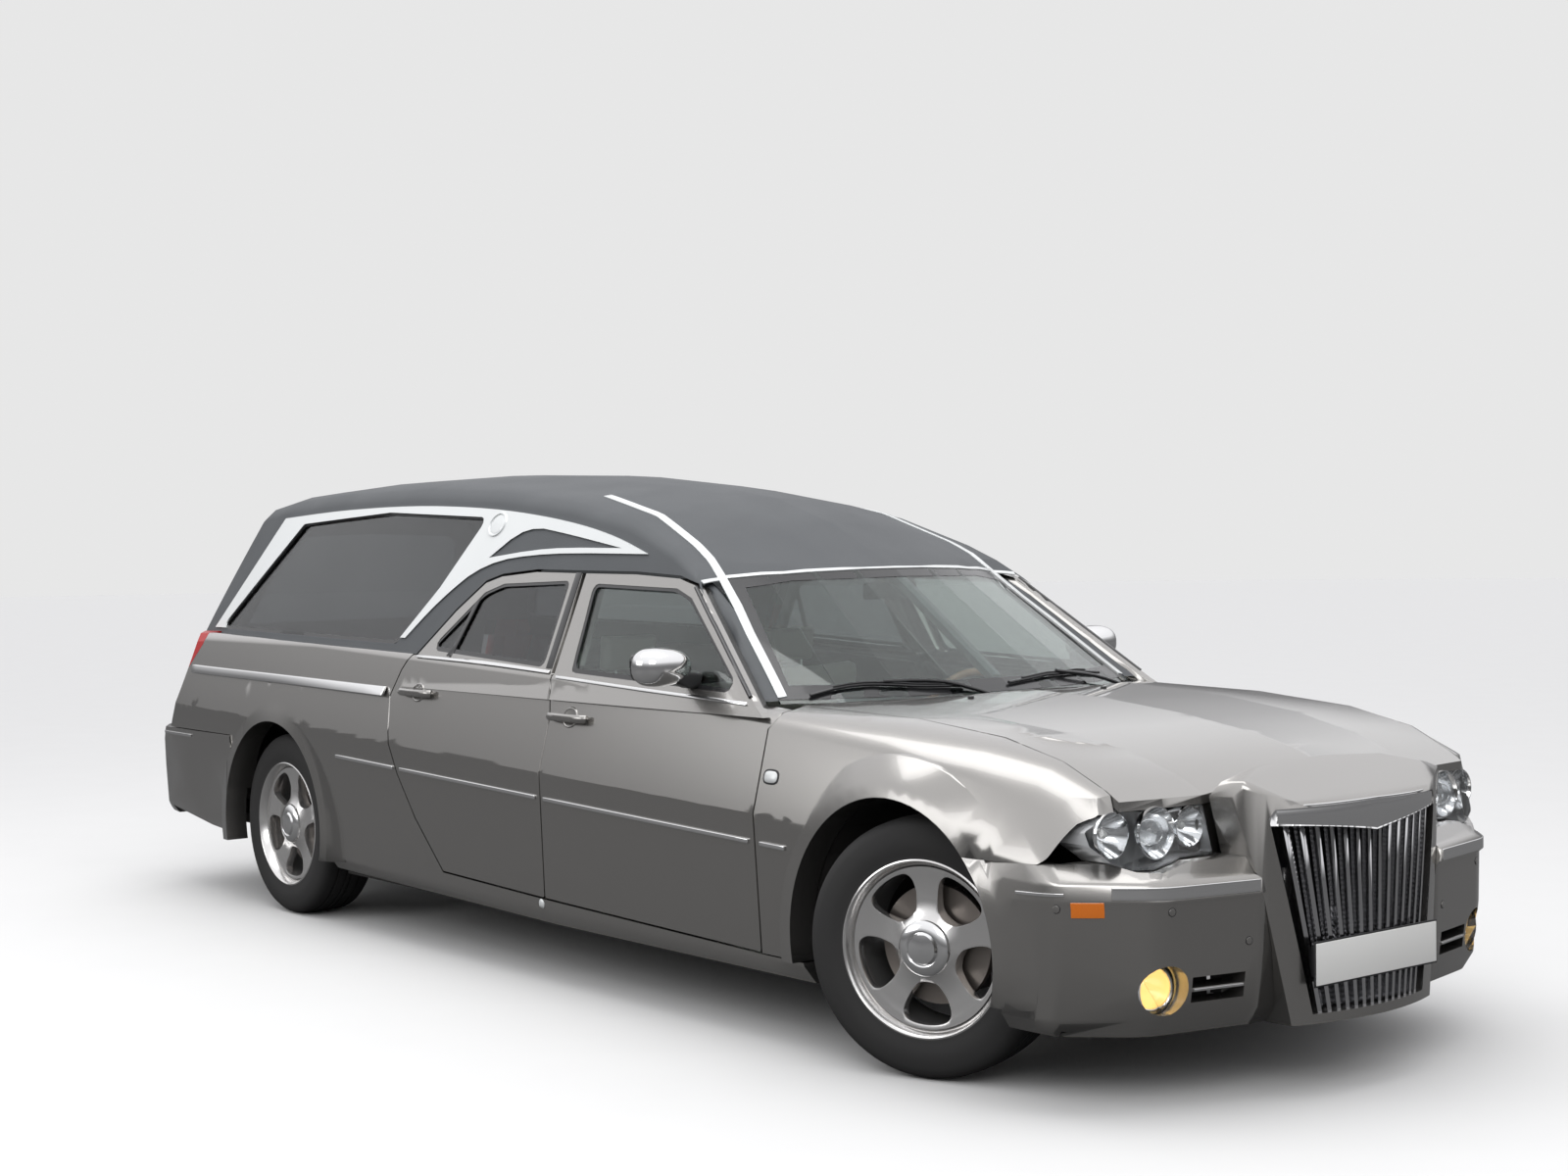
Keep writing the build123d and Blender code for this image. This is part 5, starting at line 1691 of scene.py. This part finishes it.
@dataclass
class Cabin:
    """The seats, the steering wheel and the instruments."""

    # Columns: name, place, half size, lean in degrees, channels
    pads: tuple[tuple, ...] = (
        ("front_cushion", (0.430, 0.365, 0.405), (0.285, 0.245, 0.068), -5, 5),
        ("front_backrest", (0.055, 0.365, 0.735), (0.285, 0.235, 0.062), -77, 5),
        ("front_headrest", (0.002, 0.365, 1.080), (0.062, 0.112, 0.038), -84, 0),
        ("rear_cushion", (-0.385, 0.325, 0.400), (0.235, 0.305, 0.062), -5, 4),
        ("rear_backrest", (-0.655, 0.325, 0.680), (0.240, 0.300, 0.050), -75, 4),
    )
    # Columns: name, lowest corner, highest corner
    bases: tuple[tuple, ...] = (
        ("front_seat_base", (0.150, 0.130, 0.250), (0.700, 0.600, 0.345)),
        ("rear_seat_base", (-0.640, 0.010, 0.250), (-0.160, 0.630, 0.345)),
    )
    fill: float = 0.85
    hub: Point = (0.930, 0.370, 0.850)
    axis: Point = (0.9, 0.0, -0.44)
    rim_radius: float = 0.182
    rim_thickness: float = 0.0135
    vents_y: tuple[float, ...] = (-0.60, -0.085, 0.085, 0.62)

    def seats(self) -> None:
        """Build the pads of both sides and the hidden frames that carry them."""
        first = True
        for name, place, size, lean, channels in self.pads:
            pad = Pad(name, place, size, math.radians(lean), channels).build()
            for side in (Side.RIGHT, Side.LEFT):
                twin = Bench.copied(pad, f"{name}_{side.word}", mirror_of(side))
                replaces = ("seats",) if first else ()
                first = False
                Bench.finish(twin, LEATHER, "body", "leather", replaces, 0.9)
            bpy.data.objects.remove(pad)
        for name, low, high in self.bases:
            fit_pair(Bench.block(name, low, high, 0.012), BLACK, "body", "black")
        posts = [Bench.rod("post", 0.006, ((0.012, 0.365 + s, 0.985), (0.004, 0.365 + s, 1.075)), 12)
                 for s in (-0.06, 0.06)]
        fit_pair(Bench.joined(posts, "headrest_posts"), CHROME, "body", "chrome")

    def wheel(self) -> None:
        """Build the steering wheel."""
        Bench.clear()
        way = Vector(self.axis).normalized()
        turn = way.to_track_quat("Z", "Y").to_euler()
        bpy.ops.mesh.primitive_torus_add(major_radius=self.rim_radius, minor_radius=self.rim_thickness,
                                         major_segments=64, minor_segments=14,
                                         location=self.hub, rotation=turn)
        rim = Bench.named("steering_rim")
        Bench.settle()
        Bench.finish(rim, TAN, "body", "leather", replaces=("steering_wheel",))
        middle = Vector(self.hub)
        hub = Bench.rod("steering_hub", 0.060, (middle - way * 0.018, middle + way * 0.030), 32, 0.012)
        column = Bench.rod("column", 0.030, (middle + way * 0.020, middle + way * 0.150), 24, 0.004)
        up = way.cross(Vector((0, 1, 0))).normalized()
        arms = [Bench.rod("arm", 0.013, (middle + d * 0.05, middle + d * 0.175), 16)
                for d in (Vector((0, 1, 0)), Vector((0, -1, 0)), up if up.z < 0 else -up)]
        Bench.finish(Bench.joined([hub, column, *arms], "steering_centre"), BLACK, "body", "black")

    def instruments(self) -> None:
        """Add the instrument hood, the vents and the console to the dashboard."""
        hood = Bench.block("instrument_hood", (1.062, 0.200, 0.905), (1.240, 0.540, 0.952), 0.020)
        Bench.finish(hood, BLACK, "body", "black")
        vents = []
        for y in self.vents_y:
            ring = [(1.052, y + 0.034 * math.cos(t), 0.855 + 0.024 * math.sin(t))
                    for t in spread(0, math.tau, 24)]
            vents.append(Bench.tube("vent", ring[:-1], 0.004, closed=True))
        Bench.finish(Bench.joined(vents, "vent_rings"), CHROME, "body", "chrome")
        console = Bench.block("centre_console", (0.300, -0.075, 0.250), (1.060, 0.075, 0.520), 0.020)
        Bench.finish(console, BLACK, "body", "black")
        lever = Bench.rod("gear_lever", 0.018, ((0.700, 0.0, 0.505), (0.690, 0.0, 0.600)), 20, 0.008)
        Bench.finish(lever, CHROME, "body", "chrome")
        view = Bench.block("inner_mirror", (0.990, -0.115, 1.275), (1.010, 0.115, 1.330), 0.008)
        Bench.finish(view, SATIN_BLACK, "body", "black")

    def build(self) -> None:
        """Build the cabin."""
        self.seats()
        self.wheel()
        self.instruments()


@dataclass
class LoadSpace:
    """The rollers, rails and stops on the deck."""

    rollers_x: Point = (-2.45, -0.95)
    roller_half: float = 0.200
    roller_z: float = 0.862
    cheek: Point = (0.022, 0.008, 0.022)
    rail_y: float = 0.545
    # Columns: x, z
    rail: tuple[Point, ...] = (
        (-2.58, 0.842), (-2.56, 0.878), (-2.50, 0.886), (-1.70, 0.886), (-0.92, 0.886), (-0.87, 0.878),
        (-0.85, 0.842),
    )
    # Columns: x, y
    pins: tuple[Point, ...] = ((-2.40, 0.20), (-1.00, 0.20))

    def build(self) -> None:
        """Build the deck's fittings."""
        rollers = []
        for x in spread(*self.rollers_x, 5):
            ends = ((x, -self.roller_half, self.roller_z), (x, self.roller_half, self.roller_z))
            rollers.append(Bench.rod("roller", 0.019, ends, 20, 0.003))
            for y in (-self.roller_half - 0.012, self.roller_half + 0.012):
                middle = (x, y, self.roller_z)
                low = tuple(m - c for m, c in zip(middle, self.cheek))
                high = tuple(m + c for m, c in zip(middle, self.cheek))
                rollers.append(Bench.block("cheek", low, high, 0.003))
        Bench.finish(Bench.joined(rollers, "rollers"), STEEL, "body", "steel")
        rail = Bench.tube("deck_rail", curve_through([(x, self.rail_y, z) for x, z in self.rail], 4), 0.010)
        fit_pair(rail, CHROME, "body", "chrome")
        pins = [Bench.rod("pin", 0.0088, ((x, y, 0.825), (x, y, 0.905)), 20, 0.003) for x, y in self.pins]
        fit_pair(Bench.joined(pins, "deck_pins"), CHROME, "body", "chrome")


@dataclass
class Wheel:
    """One wheel: a polished five-spoke rim with its disc, and a treaded tyre."""

    spokes: int = 5
    # Columns of the profiles: radius, y
    barrel: tuple[Point, ...] = (
        (0.2400, 0.663), (0.2470, 0.664), (0.2475, 0.672), (0.2300, 0.684), (0.2240, 0.800), (0.2300, 0.846),
        (0.2440, 0.868), (0.2475, 0.876), (0.2470, 0.883), (0.2420, 0.885), (0.2360, 0.880), (0.2290, 0.862),
        (0.2180, 0.842), (0.2160, 0.800), (0.2180, 0.690), (0.2400, 0.663),
    )
    face: tuple[Point, ...] = (
        (ON_AXIS, 0.868), (0.060, 0.868), (0.078, 0.862), (0.100, 0.848), (0.150, 0.846), (0.200, 0.853),
        (0.2230, 0.858), (0.2230, 0.834), (0.190, 0.822), (0.100, 0.806), (ON_AXIS, 0.806),
    )
    dome: tuple[Point, ...] = (
        (ON_AXIS, 0.888), (0.020, 0.8875), (0.040, 0.884), (0.046, 0.878), (0.050, 0.880), (0.068, 0.877),
        (0.076, 0.870), (0.078, 0.860), (ON_AXIS, 0.860),
    )
    brake: tuple[Point, ...] = (
        (ON_AXIS, 0.806), (0.075, 0.806), (0.080, 0.790), (0.084, 0.7905), (0.165, 0.7905), (0.166, 0.788),
        (0.166, 0.764), (0.165, 0.7625), (ON_AXIS, 0.7625),
    )
    # Columns: radius, half width of the spoke there
    spoke: tuple[Point, ...] = (
        (0.098, 0.034), (0.130, 0.031), (0.165, 0.034), (0.196, 0.045), (0.2135, 0.070),
    )
    opening_end: float = 0.2145
    # The tyre's outer half profile: radius, y from its middle
    tread: tuple[Point, ...] = (
        (0.2405, -0.104), (0.2440, -0.110), (0.2620, -0.112), (0.2760, -(TYRE_OUT_Y - TYRE_IN_Y) / 2),
        (0.3000, -0.1155), (0.3250, -0.112), (0.3420, -0.106), (0.3530, -0.0945), (0.3575, -0.082),
        (0.3585, -0.056), (0.3510, -0.054), (0.3510, -0.047), (0.3600, -0.045), (0.3605, -0.016),
        (0.3530, -0.014), (0.3530, -0.007), (0.3610, -0.005),
    )
    bead: tuple[Point, ...] = ((0.2360, 0.100), (0.2360, -0.100))
    tyre_steps: int = 240
    groove: float = 0.006
    block_steps: int = 5
    shoulder_over: float = 0.345
    shoulder: Point = (0.058, 0.104)
    sipe_over: float = 0.3585
    sipe: Point = (0.018, 0.043)

    @staticmethod
    def turned(name: str, profile: Sequence[Point], steps: int, closed: bool = False) -> Piece:
        """Return a profile of radius and y turned round the axle."""
        return Bench.spun(name, [(r, y, 0) for r, y in profile], (0, 0, 0), (0, 1, 0), steps, closed)

    def rim(self) -> Piece:
        """Return the rim at the origin, its axle along y."""
        barrel = self.turned("barrel", self.barrel, 96)
        face = self.turned("face", self.face, 96)
        for i in range(self.spokes):
            cutter = self.opening(math.tau * (i + 0.5) / self.spokes + math.pi / 2)
            Bench.apply(face, "BOOLEAN", operation="DIFFERENCE", object=cutter, solver="EXACT")
            bpy.data.objects.remove(cutter)
        Bench.apply(face, "BEVEL", width=0.005, segments=3, limit_method="ANGLE", angle_limit=CREASE_ANGLE)
        return Bench.joined([face, barrel], "rim")

    def opening(self, angle: float) -> Piece:
        """Return the rounded cutter of the opening between two spokes.

        Args:
            angle: Where its middle is, round the axle.

        Returns:
            The cutter.
        """
        half_gap = math.pi / self.spokes
        edge = [(r, half_gap - math.asin(w / r)) for r, w in self.spoke]
        loop = [*edge, (self.opening_end, 0.0), *[(r, -a) for r, a in reversed(edge)]]
        outline = rounded([(r * math.cos(angle + a), 0.79, r * math.sin(angle + a)) for r, a in loop], 2)
        return Bench.slab("opening", outline, (0, 0.12, 0))

    def cap(self) -> Piece:
        """Return the large plain centre cap."""
        return self.turned("cap", self.dome, 64)

    def disc(self) -> Piece:
        """Return the brake disc with its hub bell."""
        return self.turned("disc", self.brake, 72)

    def tyre(self) -> Piece:
        """Return the tyre with its ribs and shoulder blocks, at the origin."""
        middle = (TYRE_OUT_Y + TYRE_IN_Y) / 2
        profile = [*self.tread, *[(r, -w) for r, w in reversed(self.tread)], *self.bead]
        piece = self.turned("tyre", [(r, middle + w) for r, w in profile], self.tyre_steps, closed=True)
        Bench.pick(piece)
        for face in piece.data.polygons:
            spot = face.center
            turn = math.atan2(spot.z, spot.x) % math.tau
            step = int(turn / math.tau * self.tyre_steps + 1e-6)
            reach = math.hypot(spot.x, spot.z)
            off = abs(spot.y - middle)
            turn_in_block = step % self.block_steps
            on_shoulder = reach > self.shoulder_over and self.shoulder[0] < off < self.shoulder[1]
            on_rib = reach > self.sipe_over and self.sipe[0] < off < self.sipe[1]
            face.select = on_shoulder and turn_in_block == 0 or on_rib and turn_in_block == 2
        bpy.ops.object.mode_set(mode="EDIT")
        bpy.ops.mesh.select_mode(type="FACE")
        bpy.ops.mesh.extrude_region_shrink_fatten(TRANSFORM_OT_shrink_fatten={"value": -self.groove})
        bpy.ops.object.mode_set(mode="OBJECT")
        return piece


@dataclass
class Wheels:
    """The four wheels, each copied from one model and placed at its corner."""

    model: Wheel = field(default_factory=Wheel)

    def place(self, end: str, side: Side) -> Matrix:
        """Return the matrix that carries the model to a corner."""
        axle = FRONT_AXLE if end == "front" else REAR_AXLE
        move = Matrix.Translation((axle, 0, WHEEL_Z))
        if end == "front":
            pivot = Matrix.Translation((axle, KINGPIN_Y, 0))
            turn = Matrix.Rotation(side.value * STEER, 4, "Z")
            move = pivot @ turn @ pivot.inverted() @ move
        return mirror_of(side) @ move

    def build(self) -> None:
        """Build the parts once and copy them to the four corners."""
        parts = (
            (self.model.rim(), "rim", WHEEL_METAL, "wheel", True),
            (self.model.cap(), "cap", CHROME, "chrome", False),
            (self.model.disc(), "disc", STEEL, "steel", False),
            (self.model.tyre(), "tyre", TYRE_RUBBER, "tyre", True),
        )
        for end in ("front", "rear"):
            for side in Side:
                move = self.place(end, side)
                for part, word, finish, slot, stands in parts:
                    name = f"{end}_{word}_{side.word}"
                    twin = Bench.copied(part, name + "_made", move)
                    replaces = (name,) if stands else ()
                    Bench.finish(twin, finish, f"{end}_wheel_{side.word}", slot, replaces)
        for part, *_ in parts:
            bpy.data.objects.remove(part)


@dataclass
class Studio:
    """The pale floor, the soft light and the camera at the photograph's angle."""

    place: Point = (6.653, -5.010, 1.493)
    yaw: float = math.radians(141.124)
    pitch: float = math.radians(-1.338)
    roll: float = math.radians(-0.706)
    lens: float = 52.04
    floor_in_reflections: Point = (0.10, 0.10, 0.10)
    background: Point = (0.80, 0.80, 0.80)
    # Columns: name, place, aim, width, height, watts
    lamps: tuple[tuple, ...] = (
        ("overhead", (0.5, -1.0, 5.5), (0.0, 0.0, 0.6), 7.0, 3.0, 130.0),
        ("front_key", (6.5, -5.5, 4.6), (1.0, -0.3, 0.6), 4.0, 3.0, 120.0),
        ("side_fill", (-2.5, -7.5, 3.2), (-0.8, 0.0, 0.7), 5.0, 2.5, 80.0),
    )
    # Columns: height on the sky's ramp, brightness
    sky: tuple[Point, ...] = ((0.0, 0.16), (0.08, 0.22), (0.20, 0.50), (0.36, 1.05), (1.0, 1.25))

    def camera(self) -> None:
        """Add the camera."""
        ahead = math.cos(self.pitch)
        forward = Vector((ahead * math.cos(self.yaw), ahead * math.sin(self.yaw), math.sin(self.pitch)))
        level = forward.cross(Vector((0, 0, 1))).normalized()
        upright = level.cross(forward)
        right = level * math.cos(self.roll) + upright * math.sin(self.roll)
        up = upright * math.cos(self.roll) - level * math.sin(self.roll)
        turn = Matrix((right, up, -forward)).transposed().to_4x4()
        data = bpy.data.cameras.new("camera")
        data.lens = self.lens
        data.sensor_width = 36.0
        data.clip_end = 200.0
        camera = bpy.data.objects.new("camera", data)
        bpy.context.scene.collection.objects.link(camera)
        camera.matrix_world = Matrix.Translation(self.place) @ turn
        bpy.context.scene.camera = camera

    def floor(self) -> None:
        """Add the pale floor."""
        Bench.clear()
        bpy.ops.mesh.primitive_circle_add(vertices=96, radius=60, fill_type="NGON", location=(0, 0, 0))
        floor = Bench.named("floor")
        surface = FLOOR.material()
        tree = surface.node_tree
        shader = tree.nodes["Principled BSDF"]
        path = tree.nodes.new("ShaderNodeLightPath")
        seen = tree.nodes.new("ShaderNodeMix")
        seen.data_type = "RGBA"
        seen.inputs["A"].default_value = (*self.floor_in_reflections, 1)
        pale = shader.inputs["Base Color"].links[0].from_socket
        tree.links.new(path.outputs["Is Camera Ray"], seen.inputs["Factor"])
        tree.links.new(pale, seen.inputs["B"])
        tree.links.new(seen.outputs["Result"], shader.inputs["Base Color"])
        floor.data.materials.append(surface)

    def lights(self) -> None:
        """Add the soft lamps and the pale world."""
        for name, place, aim, wide, high, watts in self.lamps:
            data = bpy.data.lights.new(name, "AREA")
            data.shape = "RECTANGLE"
            data.size = wide
            data.size_y = high
            data.energy = watts
            lamp = bpy.data.objects.new(name, data)
            bpy.context.scene.collection.objects.link(lamp)
            lamp.location = place
            lamp.rotation_euler = (Vector(aim) - Vector(place)).to_track_quat("-Z", "Y").to_euler()
        self.world()

    def world(self) -> None:
        """Add the pale surroundings, darker near the horizon in reflections."""
        world = bpy.data.worlds.new("studio")
        bpy.context.scene.world = world
        world.use_nodes = True
        tree = world.node_tree
        spot = tree.nodes.new("ShaderNodeTexCoord")
        split = tree.nodes.new("ShaderNodeSeparateXYZ")
        tree.links.new(spot.outputs["Generated"], split.inputs[0])
        ramp = tree.nodes.new("ShaderNodeValToRGB")
        stops = ramp.color_ramp.elements
        stops[0].position, stops[1].position = self.sky[0][0], self.sky[-1][0]
        for place, _ in self.sky[1:-1]:
            stops.new(place)
        for stop, (_, level) in zip(stops, self.sky):
            stop.color = (level, level, level * 1.02, 1)
        tree.links.new(split.outputs["Z"], ramp.inputs["Fac"])
        path = tree.nodes.new("ShaderNodeLightPath")
        seen = tree.nodes.new("ShaderNodeMix")
        seen.data_type = "RGBA"
        seen.inputs["B"].default_value = (*self.background, 1)
        tree.links.new(path.outputs["Is Camera Ray"], seen.inputs["Factor"])
        tree.links.new(ramp.outputs["Color"], seen.inputs["A"])
        tree.links.new(seen.outputs["Result"], tree.nodes["Background"].inputs["Color"])

    def build(self) -> None:
        """Set up the whole stage."""
        bpy.context.scene.view_settings.view_transform = "Standard"
        self.camera()
        self.floor()
        self.lights()


@dataclass
class CarriedNodes:
    """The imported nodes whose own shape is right, each given its finish."""

    # Columns: node, finish
    table: tuple[tuple[str, Finish], ...] = (
        ("windscreen", GREEN_GLASS), ("load_windows", GREY_GLASS), ("tailgate_glass", GREY_GLASS),
        ("front_door_glass_left", GREEN_GLASS), ("front_door_glass_right", GREEN_GLASS),
        ("rear_door_glass_left", GREY_GLASS), ("rear_door_glass_right", GREY_GLASS),
        ("tail_lamps", RED_LENS), ("radiator", BLACK), ("underbody", UNDERSIDE), ("engine", IRON),
        ("front_axle", IRON), ("rear_axle", IRON), ("knuckle_left", IRON), ("knuckle_right", IRON),
    )

    def build(self, nodes: dict[str, Piece]) -> None:
        """Give each node its material.

        Args:
            nodes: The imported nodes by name.
        """
        for name, finish in self.table:
            node = nodes[name]
            node.data.materials.clear()
            node.data.materials.append(finish.material())
            LOG.info("%s keeps its own shape", name)


def main() -> None:
    """Build the stage, then dress the hearse group by group."""
    logging.basicConfig(level=logging.INFO, format="%(message)s")
    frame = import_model()
    Studio().build()
    form = BodyForm()
    nodes = frame["nodes"]
    CarriedNodes().build(nodes)
    Panels(form).build(nodes)
    SideTrim(form).build()
    sides = Skin.of(nodes, "front_door_left", "rear_door_left", "rear_quarters", "front_fenders")
    bumper = Skin.of(nodes, "front_bumper")
    upper = Skin.of(nodes, "roof", "windscreen", "cowl", "front_fenders", "front_door_left")
    RoofTrim(form, upper).build()
    SideDetails(form, sides, Skin.of(nodes, "front_door_left")).build()
    Headlamps(nodes, Skin.of(nodes, "front_lamps")).build()
    Nose(nodes, bumper).build()
    Mirrors().build()
    Screen(Skin.of(nodes, "windscreen"), Skin.of(nodes, "bonnet")).build()
    Tail(Skin.of(nodes, "rear_bumper"), Skin.of(nodes, "tailgate")).build()
    Cabin().build()
    LoadSpace().build()
    Wheels().build()


if __name__ == "__main__":
    main()
